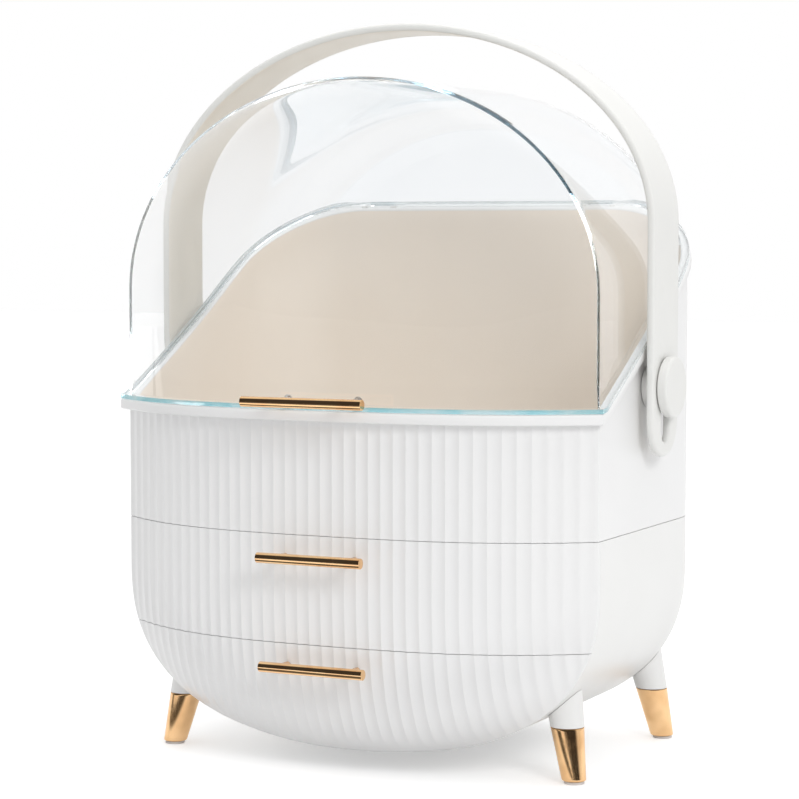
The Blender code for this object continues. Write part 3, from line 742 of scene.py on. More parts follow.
@dataclass(frozen=True)
class EggForm:
    """The shape that the body, the drawers and the lid have in common."""

    half_width: float = 150 * MM
    bottom: float = 11 * MM
    belly_top: float = 111 * MM
    arch_base: float = 274 * MM
    arch_top: float = 396 * MM
    belly_power: float = 2.42
    edge_y: float = -65.1 * MM
    rear_y: float = 118.9 * MM
    bow: float = 42 * MM
    bow_power: float = 2.9
    rear_radius: float = 50 * MM
    top_radius: float = 34 * MM
    rim_front: float = 209 * MM
    rim_rear: float = 325 * MM
    rim_share: float = 0.86
    flute_count: int = 40
    flute_depth: float = 0.9 * MM
    flute_fade: float = 14 * MM
    flute_margin: float = 1.2 * MM
    flute_run_out: float = 3 * MM
    flute_columns: int = 8

    @property
    def pitch(self) -> float:
        """The distance between two flutes."""
        return (self.half_width - self.flute_margin) * 2 / self.flute_count

    @property
    def corner_start(self) -> float:
        """The depth at which the rear corners begin."""
        return self.rear_y - self.rear_radius

    def corner(self, y: float, inset: float, rear_gap: float = 0.0) -> Span:
        """How far the rounded rear draws the outline in.

        Args:
            y: The depth.
            inset: How far inside the outer skin.
            rear_gap: A further gap at the rear.

        Returns:
            The share at the sides and at the top and bottom.
        """
        rear = self.rear_y - inset - rear_gap
        radius, top = self.rear_radius - inset, self.top_radius - inset
        past = max(0.0, y - (rear - radius))
        over = max(0.0, y - (rear - top))
        side = radius - math.sqrt(max(0.0, radius**2 - past**2))
        cap = top - math.sqrt(max(0.0, top**2 - over**2))
        return side, cap

    def half_at(self, z: float, y: float, inset: float = 0.0, rear_gap: float = 0.0) -> float:
        """Half the width at a height and depth.

        Args:
            z: The height.
            y: The depth.
            inset: How far inside the outer skin.
            rear_gap: A further gap at the rear.

        Returns:
            Half the width.
        """
        side, cap = self.corner(y, inset, rear_gap)
        half = self.half_width - inset - side
        if z < self.belly_top:
            share = (self.belly_top - z) / (self.belly_top - self.bottom - inset - cap)
            return half * max(0.0, 1 - share**self.belly_power) ** (1 / self.belly_power)
        if z > self.arch_base:
            share = (z - self.arch_base) / (self.arch_top - self.arch_base - inset - cap)
            return half * math.sqrt(max(0.0, 1 - share**2))
        return half

    def front_half(self, z: float, inset: float = 0.0) -> float:
        """Half the width of the front outline at a height."""
        return self.half_at(z, self.edge_y, inset)

    def face_y(self, x: float, z: float, inset: float = 0.0) -> float:
        """Depth of the bowed front face.

        Args:
            x: The place across.
            z: The height.
            inset: How far inside the outer skin.

        Returns:
            Its Y.
        """
        half = self.front_half(z, inset)
        edge = self.edge_y + inset
        if abs(x) >= half:
            return edge
        return edge - self.bow * half / self.half_width * (1 - (abs(x) / half) ** self.bow_power)

    def flute_y(self, x: float, z: float) -> float:
        """How far a point of the fluted face lies behind the ridges between its flutes.

        Args:
            x: The place across.
            z: The height.

        Returns:
            The distance.
        """
        fade = min(1.0, max(0.0, (z - self.bottom) / self.flute_fade))
        inwards = min(1.0, max(0.0, (self.front_half(z) - abs(x)) / self.flute_run_out))
        return self.flute_depth * fade * inwards * abs(math.sin(math.pi * x / self.pitch))

    def rim_z(self, y: float) -> float:
        """Height of the tilted rim.

        Args:
            y: The depth.

        Returns:
            Its Z.
        """
        share = min(1.0, max(0.0, (y - self.edge_y) / (self.rear_y - self.edge_y)))
        rise = self.rim_rear - self.rim_front
        return self.rim_front + rise * (self.rim_share * share + (1 - self.rim_share) * share**3)

    def belly_z(self, x: float, y: float) -> float:
        """Height of the underside above a point of the floor.

        Args:
            x: The place across.
            y: The depth.

        Returns:
            Its Z.
        """
        side, cap = self.corner(y, 0.0)
        share = min(1.0, abs(x) / (self.half_width - side))
        drop = (self.belly_top - self.bottom - cap) * (1 - share**self.belly_power) ** (1 / self.belly_power)
        return self.belly_top - drop

    def flute_stops(self) -> list[float]:
        """X of the columns of a fluted face, from left to right.

        Returns:
            The places across.
        """
        count = self.flute_count * self.flute_columns
        reach = self.half_width - self.flute_margin
        inner = [-reach + 2 * reach * i / count for i in range(count + 1)]
        return [-self.half_width, *inner, self.half_width]

    def belly_rows(self, low: float, high: float, steps: int, inset: float = 0.0) -> list[float]:
        """Heights from low to high, evenly spread along the outline of the belly.

        Args:
            low: The lowest height.
            high: The highest height.
            steps: Rows to the quarter turn of the belly.
            inset: How far inside the outer skin.

        Returns:
            The heights in order.
        """
        floor = self.bottom + inset
        rows = []
        for i in range(steps + 1):
            angle = math.pi / 2 * i / steps
            rows.append(self.belly_top - (self.belly_top - floor) * math.cos(angle) ** (2 / self.belly_power))
        start = max(low, floor)
        inner = [z for z in rows if start + 0.2 * MM < z < high - 0.2 * MM]
        return [start, *inner, high]

    def stations(
        self, inset: float, straight: int, round_steps: int, front: float, rear_gap: float = 0.0
    ) -> list[float]:
        """Depths from the front to the rear of the barrel.

        Args:
            inset: How far inside the outer skin.
            straight: Steps along the straight sides.
            round_steps: Steps round the rear corners.
            front: The first depth.
            rear_gap: A further gap at the rear.

        Returns:
            The depths in order.
        """
        radius = self.rear_radius - inset
        start = self.rear_y - inset - rear_gap - radius
        run = [front + (start - front) * i / straight for i in range(straight)]
        return run + [start + radius * math.sin(math.pi / 2 * i / round_steps) for i in range(round_steps + 1)]


EGG = EggForm()


def trough(rows: Sequence[float], depths: Sequence[float], inset: float, rear_gap: float, flat: bool) -> Mesh:
    """The lower part of the barrel as an open sheet: sides, bottom and rear wall.

    Args:
        rows: Heights from the bottom to the top edge.
        depths: Depths from the front to the rear.
        inset: How far inside the outer skin.
        rear_gap: A further gap at the rear.
        flat: True where the lowest row is a flat bottom, not the belly's own.

    Returns:
        The sheet.
    """
    count = len(rows)
    ring = 2 * count - 1 + 2 * int(flat)
    top = min(rows[-1], EGG.belly_top)

    def place(column: int, row: int) -> Point:
        """The point of a ring (row) and of its round (column).

        Args:
            column: The step along the ring.
            row: Which ring.

        Returns:
            The point.
        """
        y = depths[min(row, len(depths) - 1)]
        left = column < ring // 2
        index = count - 1 - column if left else column - (ring - count)
        z = rows[max(0, index)]
        if not flat and z < top:
            floor = rows[0] + EGG.corner(y, inset, rear_gap)[1]
            z = top - (top - z) * (top - floor) / (top - rows[0])
        x = EGG.half_at(z, y, inset, rear_gap) * (-1 if left else 1)
        if row == len(depths) or column == ring // 2:
            x = 0.0
        return x, y, z

    return mapped_grid(ring - 1, len(depths), place)


def bowed_sheet(rows: Sequence[float], inset: float, columns: int) -> Mesh:
    """The plain bowed front between the outline's sides.

    Args:
        rows: Heights from the bottom to the top edge.
        inset: How far inside the outer skin.
        columns: Steps across.

    Returns:
        The sheet.
    """

    def place(column: int, row: int) -> Point:
        """The point of a row and column.

        Args:
            column: The step across.
            row: The step up.

        Returns:
            The point.
        """
        z = rows[row]
        x = EGG.front_half(z, inset) * math.sin(math.pi / 2 * (2 * column / columns - 1))
        return x, EGG.face_y(x, z, inset), z

    return mapped_grid(columns, len(rows) - 1, place)


@dataclass
class Compartment(Part):
    """The open upper compartment: fluted front, tilted rim with its lip, and floor."""

    low: float = 138.55 * MM
    wall: float = 3 * MM
    floor: float = 3 * MM
    lip: float = 4 * MM
    lip_height: float = 6 * MM
    side_steps: int = 18
    corner_steps: int = 14
    rear_steps: int = 16
    wall_rows: int = 20
    foot_edge: float = 0.3 * MM
    soft: float = 0.8 * MM
    tight: float = 0.25 * MM
    floor_round: float = 2 * MM
    floor_steps: Sequence[Span] = ((0.25 * MM, 1.1 * MM), (0.9 * MM, 0.35 * MM), (2.0 * MM, 0.0))
    floor_slack: float = 0.2 * MM
    rim_slack: float = 0.9 * MM
    front_slack: float = 1.6 * MM
    middle_y: float = 0.02

    def stops(self) -> list[tuple[Flank, float]]:
        """The plan's columns, once round from the left end of the front.

        Returns:
            Pairs of stretch and place on it.
        """
        sides = [i / self.side_steps for i in range(1, self.side_steps)]
        corner = [i / self.corner_steps for i in range(self.corner_steps + 1)]
        rear = [1 - 2 * i / self.rear_steps for i in range(1, self.rear_steps)]
        made = [(Flank.FRONT, x) for x in EGG.flute_stops()]
        made += [(Flank.RIGHT, share) for share in sides]
        made += [(Flank.RIGHT_CORNER, share) for share in corner]
        made += [(Flank.REAR, share) for share in rear]
        made += [(Flank.LEFT_CORNER, share) for share in reversed(corner)]
        made += [(Flank.LEFT, share) for share in reversed(sides)]
        return made + made[:1]

    def depth(self, stop: tuple[Flank, float], inset: float) -> float:
        """Depth of a column behind the front.

        Args:
            stop: The column.
            inset: How far inside the outer skin.

        Returns:
            Its Y.
        """
        flank, share = stop
        if flank in (Flank.RIGHT, Flank.LEFT):
            return EGG.edge_y + inset + (EGG.corner_start - EGG.edge_y - inset) * share
        if flank in (Flank.RIGHT_CORNER, Flank.LEFT_CORNER):
            return EGG.corner_start + (EGG.rear_radius - inset) * math.sin(math.pi / 2 * share)
        return EGG.rear_y - inset

    def point(self, stop: tuple[Flank, float], inset: float, level: Callable[[float], float], fluted: bool) -> tuple:
        """A point of the wall.

        Args:
            stop: The column.
            inset: How far inside the outer skin.
            level: Gives the height from the depth.
            fluted: True on the fluted outer skin.

        Returns:
            The point.
        """
        flank, share = stop
        if flank is Flank.FRONT:
            x = share * (EGG.half_width - inset) / EGG.half_width
            z = level(EGG.edge_y)
            y = EGG.face_y(x, z, inset)
            return x, y + (EGG.flute_y(x, z) if fluted and abs(share) < EGG.half_width else 0.0), z
        y = self.depth(stop, inset)
        z = level(y)
        half = EGG.half_at(z, y, inset)
        if flank is Flank.REAR:
            return share * half, y, z
        return (half if flank in (Flank.RIGHT, Flank.RIGHT_CORNER) else -half), y, z

    def profile(self) -> list[tuple[float, Callable[[float], float], bool]]:
        """The wall's section from its outer foot over the lip to the floor.

        Returns:
            For each row the inset, the height rule and whether it is fluted.
        """

        def between(start: float, end: float, share: float) -> Callable[[float], float]:
            """A height between one over the foot and one under the rim."""
            return lambda y: (self.low + start) * (1 - share) + (EGG.rim_z(y) - end) * share

        lip, height, wall = self.lip, self.lip_height, self.wall
        soft, tight, steps = self.soft, self.tight, self.wall_rows
        rows = [(self.foot_edge, between(0, 0, 0), True)]
        rows += [(0.0, between(self.foot_edge, height, i / steps), True) for i in range(steps + 1)]
        under = [(0.2 * MM, 0.0), (lip - soft, 0.0), (lip - tight, tight), (lip, soft)]
        over = [(lip, height - soft), (lip - tight, height - tight), (lip - soft, height)]
        over += [(-wall + soft, height), (-wall + tight, height - tight), (-wall, height - soft)]
        rows += [(-out, between(0, height - up, 1), False) for out, up in under + over]
        base = self.floor + self.floor_round
        rows += [(wall, between(base, soft, 1 - i / steps), False) for i in range(1, steps + 1)]
        for inward, up in self.floor_steps:
            rows.append((wall + inward, between(self.floor + up, 0, 0), False))
        return rows

    def is_lining(self, face: bmesh.types.BMFace) -> bool:
        """Tell the faces of the inner side and floor.

        Args:
            face: A face of the shell.

        Returns:
            True for a face that lies within the wall and looks inwards.
        """
        middle, deep = face.calc_center_median(), self.wall / 2
        inside = self.low + self.floor - self.floor_slack < middle.z < EGG.rim_z(middle.y) - self.rim_slack
        half = min(EGG.half_at(middle.z, middle.y) - deep, EGG.half_width - self.wall)
        within = abs(middle.x) < half and middle.y < EGG.rear_y - deep
        behind_front = middle.y > EGG.face_y(middle.x, middle.z) + self.front_slack
        facing_in = face.normal.dot(Vector((0, self.middle_y, middle.z)) - middle) > -TINY
        return inside and within and behind_front and facing_in

    def build(self) -> None:
        """Make the shell."""
        stops, rows = self.stops(), self.profile()
        bm = mapped_grid(len(stops) - 1, len(rows) - 1, lambda column, row: self.point(stops[column], *rows[row]))
        bmesh.ops.holes_fill(bm, edges=[edge for edge in bm.edges if edge.is_boundary], sides=0)
        bmesh.ops.recalc_face_normals(bm, faces=bm.faces)
        # The lining faces get the interior finish, whose warm, lighter tone is painted bounce light
        for face in bm.faces:
            if self.is_lining(face):
                face.material_index = 1
        self.maker.piece(
            "compartment_shell", bm, (self.palette.fluted, self.palette.interior), Body.CASE, Slot.WHITE,
            ("upper_compartment",), sharp=32,
        )


@dataclass
class HingeLine(Part):
    """The lid's hinge: ears on the case, knuckles on the lid and a steel pin through each pair."""

    y: float = 127.9 * MM
    z: float = 322 * MM
    half_spacing: float = 75 * MM
    knuckle: float = 4.2 * MM
    lug_width: float = 16 * MM
    ear_width: float = 4 * MM
    gap: float = 0.3 * MM
    pin: float = 1.6 * MM
    edge: float = 0.4 * MM
    pin_edge: float = 0.3 * MM
    lid_wall: float = 2.5 * MM
    lid_flange: float = 4.05 * MM
    ear_root: float = 1 * MM
    round_steps: int = 16
    pin_steps: int = 24

    def half_round(self, start: float) -> Outline:
        """Half a turn round the hinge axis from a start angle, no higher than the rim."""
        points = arc(self.y, self.z, self.knuckle, start, math.pi, self.round_steps)
        return [(y, min(EGG.rim_rear, z)) for y, z in points]

    def build(self) -> None:
        """Make the ears, knuckles and pins."""
        palette, maker = self.palette, self.maker
        foot = EGG.rear_y - self.ear_root
        ear = [(foot, self.z - self.knuckle * 3), *self.half_round(-math.pi / 3)]
        ear.append((foot, self.z + self.knuckle * math.sin(math.pi * 2 / 3) - self.gap * 2))
        flange, under = EGG.rear_y + self.lid_flange, EGG.rim_rear + self.gap
        lug = self.half_round(-math.pi)
        lug += [(self.y, under + self.lid_wall), (flange, under + self.lid_wall), (flange, under)]
        bore = arc(self.y, self.z, self.pin + self.gap, 0.0, math.tau, self.round_steps)[:-1]
        ears, lugs = bmesh.new(), bmesh.new()
        for side in Side:
            middle = side.value * self.half_spacing
            for outwards in (-1, 1):
                centre = middle + outwards * (self.lug_width / 2 + self.gap + self.ear_width / 2)
                plate = cut_plate((ear, bore), self.ear_width, self.edge)
                absorb(ears, along_x(plate, centre - self.ear_width / 2))
            plate = cut_plate((lug, bore), self.lug_width, self.edge)
            absorb(lugs, along_x(plate, middle - self.lug_width / 2))
            length = self.lug_width + (self.gap + self.ear_width) * 2
            profile = [(0, 0), (self.pin, 0, self.pin_edge), (self.pin, length, self.pin_edge), (0, length)]
            pin = along_x(turned(fillet(profile), self.pin_steps), middle - length / 2)
            bmesh.ops.translate(pin, vec=(0, self.y, self.z), verts=pin.verts)
            pins = (f"hinge_pin_{side.tag}",)
            maker.piece(f"hinge_rod_{side.tag}", pin, (palette.steel,), Body.CASE, Slot.STEEL, pins)
        maker.piece("hinge_ears", ears, (palette.white,), Body.CASE, Slot.WHITE, ("upper_compartment",))
        maker.piece("lid_knuckles", lugs, (palette.clear,), Body.LID, Slot.CLEAR, ("lid",))


@dataclass
class Lid(Part):
    """The clear lid: bowed front, arched barrel, rounded rear and a thin flange on the rim."""

    wall: float = 2.5 * MM
    edge: float = 0.4 * MM
    gap: float = 0.3 * MM
    overhang: float = 4 * MM
    height_steps: int = 44
    face_columns: int = 56
    side_steps: int = 26
    corner_steps: int = 14
    middle: Point = (0.0, 0.03, 0.26)
    sharp: float = 35.0

    def height(self, y: float, step: int) -> float:
        """Height of a row: step 0 is at the flange, the last at the top of the arch."""
        foot, top = EGG.rim_z(y) + self.gap + self.wall, EGG.arch_top - EGG.corner(y, 0.0)[1]
        return foot + (top - foot) * math.sin(math.pi / 2 * step / self.height_steps)

    def build(self) -> None:
        """Make the shell."""
        steps = self.height_steps
        ring = 2 * (steps + 1)
        flange = -self.overhang
        wide = EGG.stations(flange, self.side_steps, self.corner_steps, EGG.edge_y + flange)
        narrow = EGG.stations(0.0, self.side_steps, self.corner_steps, EGG.edge_y)

        def barrel(column: int, row: int) -> Point:
            """A point of the arch: columns go from the left flange over the top to the right one.

            Args:
                column: The step from flange to flange.
                row: The step back.

            Returns:
                The point.
            """
            left = column <= steps + 1
            step = column - 1 if left else ring - column - 1
            at_flange = step < 0
            depths = wide if at_flange else narrow
            y = depths[min(row, len(depths) - 1)]
            z = self.height(y, max(0, step))
            x = EGG.half_at(z, y, flange if at_flange else 0.0) * (-1 if left else 1)
            return (0.0 if row == len(depths) else x), y, z

        def front(column: int, row: int) -> Point:
            """A point of the bowed front, the first row on the flange's edge.

            Args:
                column: The step across.
                row: The step up.

            Returns:
                The point.
            """
            inset = flange if row == 0 else 0.0
            z = self.height(EGG.edge_y, max(0, row - 1))
            share = math.sin(math.pi / 2 * (2 * column / self.face_columns - 1))
            x = EGG.front_half(z, inset) * share
            return x, EGG.face_y(x, z, inset), z

        bm = mapped_grid(ring, len(narrow), barrel)
        absorb(bm, mapped_grid(self.face_columns, steps + 1, front))
        bmesh.ops.remove_doubles(bm, verts=bm.verts, dist=MERGE)
        face_outwards(bm, Vector(self.middle))
        shell = self.maker.piece(
            "lid_shell", bm, (self.palette.clear, self.palette.edge), Body.LID, Slot.CLEAR, ("lid",),
            sharp=self.sharp, normals=False,
        )
        wall = self.maker.wall(shell, self.wall)
        wall.solidify_mode, wall.nonmanifold_thickness_mode = "NON_MANIFOLD", "FIXED"
        wall.material_offset_rim = 1
        self.maker.soften(shell, self.edge, 3, self.sharp)


@dataclass
class Housing(Part):
    """The belly shell that the drawers slide into, and the shelf between them."""

    front: float = -61.8 * MM
    top: float = 138.3 * MM
    wall: float = 3 * MM
    edge: float = 0.3 * MM
    shelf_low: float = 75.5 * MM
    shelf_thickness: float = 2 * MM
    shelf_inset: float = 3.3 * MM
    belly_rows: int = 40
    side_steps: int = 16
    corner_steps: int = 16
    shelf_columns: int = 16
    shelf_side_steps: int = 10
    shelf_corner_steps: int = 12
    middle: Point = (0.0, 0.03, 0.1)

    def build(self) -> None:
        """Make the shell and the shelf."""
        rows = EGG.belly_rows(0.0, self.top, self.belly_rows)
        depths = EGG.stations(0.0, self.side_steps, self.corner_steps, self.front)
        bm = trough(rows, depths, 0.0, 0.0, False)
        face_outwards(bm, Vector(self.middle))
        shell = self.maker.piece(
            "belly_shell", bm, (self.palette.white,), Body.CASE, Slot.WHITE, ("drawer_housing",), normals=False
        )
        self.maker.wall(shell, self.wall)
        self.maker.soften(shell, self.edge)
        z, inset, columns = self.shelf_low, self.shelf_inset, self.shelf_columns
        depths = EGG.stations(inset, self.shelf_side_steps, self.shelf_corner_steps, self.front)

        def place(column: int, row: int) -> Point:
            """A point of the shelf's underside."""
            y = depths[row]
            return EGG.half_at(z, y, inset) * (2 * column / columns - 1), y, z

        shelf = mapped_grid(columns, len(depths) - 1, place)
        thicken(shelf, self.shelf_thickness)
        plate = self.maker.piece(
            "shelf_plate", shelf, (self.palette.cream,), Body.CASE, Slot.CREAM, ("drawer_shelf",)
        )
        self.maker.soften(plate, self.edge)


@dataclass
class Pull(Part):
    """A round bar on two posts, each held by a screw from inside."""

    name: str
    body: Body
    z: float
    length: float
    standoff: float
    depth: float
    radius: float = 3 * MM
    post_radius: float = 1.7 * MM
    half_spacing: float = 22 * MM
    screw_radius: float = 1.3 * MM
    head_radius: float = 2.8 * MM
    head_height: float = 1.4 * MM
    bite: float = 7 * MM
    gap: float = 0.3 * MM
    edge: float = 0.3 * MM
    point: float = 0.5 * MM
    crown_edge: float = 0.7 * MM
    recess: Span = (1.1 * MM, 0.9 * MM)
    recess_depth: float = 0.8 * MM
    post_sides: int = 28
    screw_sides: int = 24
    bar_sides: int = 56

    def build(self) -> None:
        """Make the bar with its posts, and the screws."""
        radius, half, edge = self.radius, self.length / 2, self.edge
        bar_y = EGG.face_y(0.0, self.z) - self.standoff
        seat = EGG.face_y(self.half_spacing - self.post_radius, self.z + self.post_radius) - self.gap
        profile = fillet([(0, -half), (radius, -half, edge), (radius, half, edge), (0, half)], 3)
        bm = along_x(turned(profile, self.bar_sides), 0.0)
        bmesh.ops.translate(bm, vec=(0, bar_y, self.z), verts=bm.verts)
        reach = seat - bar_y
        post = [(0, radius * 0.4), (self.post_radius, radius * 0.4), (self.post_radius, reach, edge), (0, reach)]
        for side in Side:
            absorb(bm, self.backwards(turned(fillet(post, 2), self.post_sides), side, bar_y))
        self.maker.piece(f"{self.name}_bar", bm, (self.palette.gold,), self.body, Slot.GOLD, (f"{self.name}_pull",))
        for side in Side:
            self.screw(side)

    def backwards(self, bm: Mesh, side: Side, y: float) -> Mesh:
        """Lay a piece turned about Z along Y, at a post.

        Args:
            bm: The piece.
            side: Which post.
            y: Where its foot lies.

        Returns:
            The piece in place.
        """
        place = Matrix.Translation((side.value * self.half_spacing, y, self.z))
        bmesh.ops.transform(bm, matrix=place @ Matrix.Rotation(-math.pi / 2, 4, "X"), verts=bm.verts)
        return bm

    def screw(self, side: Side) -> None:
        """Make one screw, head inside and tip in the post.

        Args:
            side: Which post.
        """
        head = EGG.face_y(self.half_spacing + self.head_radius, self.z - self.head_radius, self.depth) + self.gap
        tip = EGG.face_y(self.half_spacing, self.z) - self.bite
        shank, crown = head - tip, head - tip + self.head_height
        profile = [(0, 0), (self.screw_radius * 0.7, 0), (self.screw_radius, self.point), (self.screw_radius, shank)]
        profile += [(self.head_radius, shank), (self.head_radius, crown - self.crown_edge, self.point)]
        profile += [(self.head_radius * 0.6, crown, self.edge), (self.recess[0], crown)]
        profile += [(self.recess[1], crown - self.recess_depth), (0, crown - self.recess_depth)]
        bm = self.backwards(turned(fillet(profile, 3), self.screw_sides), side, tip)
        node = f"{self.name}_screw_{side.tag}"
        self.maker.piece(f"{self.name}_fixing_{side.tag}", bm, (self.palette.steel,), self.body, Slot.STEEL, (node,))


@dataclass
class Drawer(Part):
    """A drawer: fluted front shell with a turned-back edge, and a tray behind it."""

    name: str
    body: Body
    low: float
    high: float
    tray_low: float
    belly: bool
    joint: float = 0.15 * MM
    front_wall: float = 2.6 * MM
    front_edge: float = 3 * MM
    front_rounding: float = 0.15 * MM
    tray_inset: float = 3.8 * MM
    tray_wall: float = 2 * MM
    tray_edge: float = 0.5 * MM
    tray_drop: float = 5 * MM
    rear_gap: float = 4 * MM
    belly_rows: int = 72
    plain_rows: int = 40
    tray_rows: int = 30
    side_steps: int = 14
    corner_steps: int = 12
    tray_columns: int = 40
    pull_length: float = 65 * MM
    pull_standoff: float = 14 * MM

    def front(self) -> None:
        """Make the fluted front: its face, its turned-back edges and its inner side in one closed skin."""
        steps = self.belly_rows if self.belly else self.plain_rows
        rows = EGG.belly_rows(self.low - self.joint, self.high + self.joint, steps)
        bottom, top, wall = rows[0], rows[-1], self.front_wall
        floor = EGG.bottom + wall if self.belly else bottom
        stops = EGG.flute_stops()
        back = EGG.edge_y + self.front_edge

        def face(stop: float, z: float) -> Point:
            """A point of the fluted face, held to the outline at its height.

            Args:
                stop: The column's place across.
                z: The height.

            Returns:
                The point.
            """
            half = EGG.front_half(z)
            x = max(-half, min(half, stop))
            fluted = EGG.flute_y(x, z) if abs(x) < half - 0.01 * MM else 0.0
            return x, EGG.face_y(x, z) + fluted, z

        def lining(stop: float, z: float) -> Point:
            """The point of the inner side behind a point of the face.

            Args:
                stop: The column's place across.
                z: The height.

            Returns:
                The point.
            """
            z = floor + (z - bottom) * (top - floor) / (top - bottom)
            half = EGG.front_half(z, wall)
            x = half * stop / EGG.half_width if not self.belly else max(-half, min(half, stop))
            return x, EGG.face_y(x, z, wall), z

        def ring(z: float) -> list[Point]:
            """The section at a height, once round from the left rear edge.

            Args:
                z: The height.

            Returns:
                Its points.
            """
            outer = [face(stop, z) for stop in stops]
            inner = [lining(stop, z) for stop in stops]
            outer = [(outer[0][0], back, outer[0][2]), *outer, (outer[-1][0], back, outer[-1][2])]
            inner = [(inner[0][0], back, inner[0][2]), *inner, (inner[-1][0], back, inner[-1][2])]
            return [*outer, *reversed(inner), outer[0]]

        rings = [ring(z) for z in rows]
        count = len(rings[0]) - 1

        def cap(points: list[Point]) -> list[Point]:
            """The middle line of the wall at an end of the stack."""
            line = [tuple(Vector(points[i]).lerp(Vector(points[count - 1 - i]), 0.5)) for i in range(count)]
            return [*line, line[0]]

        rings.append(cap(rings[-1]))
        if not self.belly:
            rings.insert(0, cap(rings[0]))
        bm = mapped_grid(count, len(rings) - 1, lambda column, row: rings[row][column])
        shell = self.maker.piece(
            f"{self.name}_face", bm, (self.palette.fluted,), self.body, Slot.WHITE, (f"{self.name}_front",), sharp=32
        )
        self.maker.soften(shell, self.front_rounding, 2, 62)

    def tray(self) -> None:
        """Make the tray."""
        top = self.high - self.tray_drop
        inset = self.tray_inset
        low = EGG.bottom + inset if self.belly else self.tray_low
        rows = EGG.belly_rows(low, top, self.tray_rows, inset)
        depths = EGG.stations(inset, self.side_steps, self.corner_steps, EGG.edge_y + inset, self.rear_gap)
        bm = trough(rows, depths, inset, self.rear_gap, not self.belly)
        absorb(bm, bowed_sheet(rows, inset, self.tray_columns))
        bmesh.ops.remove_doubles(bm, verts=bm.verts, dist=MERGE * 4)
        lowest = [edge for edge in bm.edges if edge.is_boundary and max(v.co.z for v in edge.verts) < low + 0.1 * MM]
        bmesh.ops.holes_fill(bm, edges=lowest, sides=0)
        face_outwards(bm, Vector((0, 0.02, (low + top) / 2)))
        tray = self.maker.piece(
            f"{self.name}_bin", bm, (self.palette.cream,), self.body, Slot.CREAM, (f"{self.name}_tray",), normals=False
        )
        self.maker.wall(tray, self.tray_wall)
        self.maker.soften(tray, self.tray_edge)

    def build(self, pull_drop: float, seam: float) -> None:
        """Make the whole drawer.

        Args:
            pull_drop: How far the pull lies under the joint line above it.
            seam: The height of that joint line.
        """
        self.front()
        self.tray()
        Pull(
            self.palette, self.maker, self.name, self.body, seam - pull_drop, self.pull_length,
            self.pull_standoff, self.tray_inset + self.tray_wall,
        ).build()


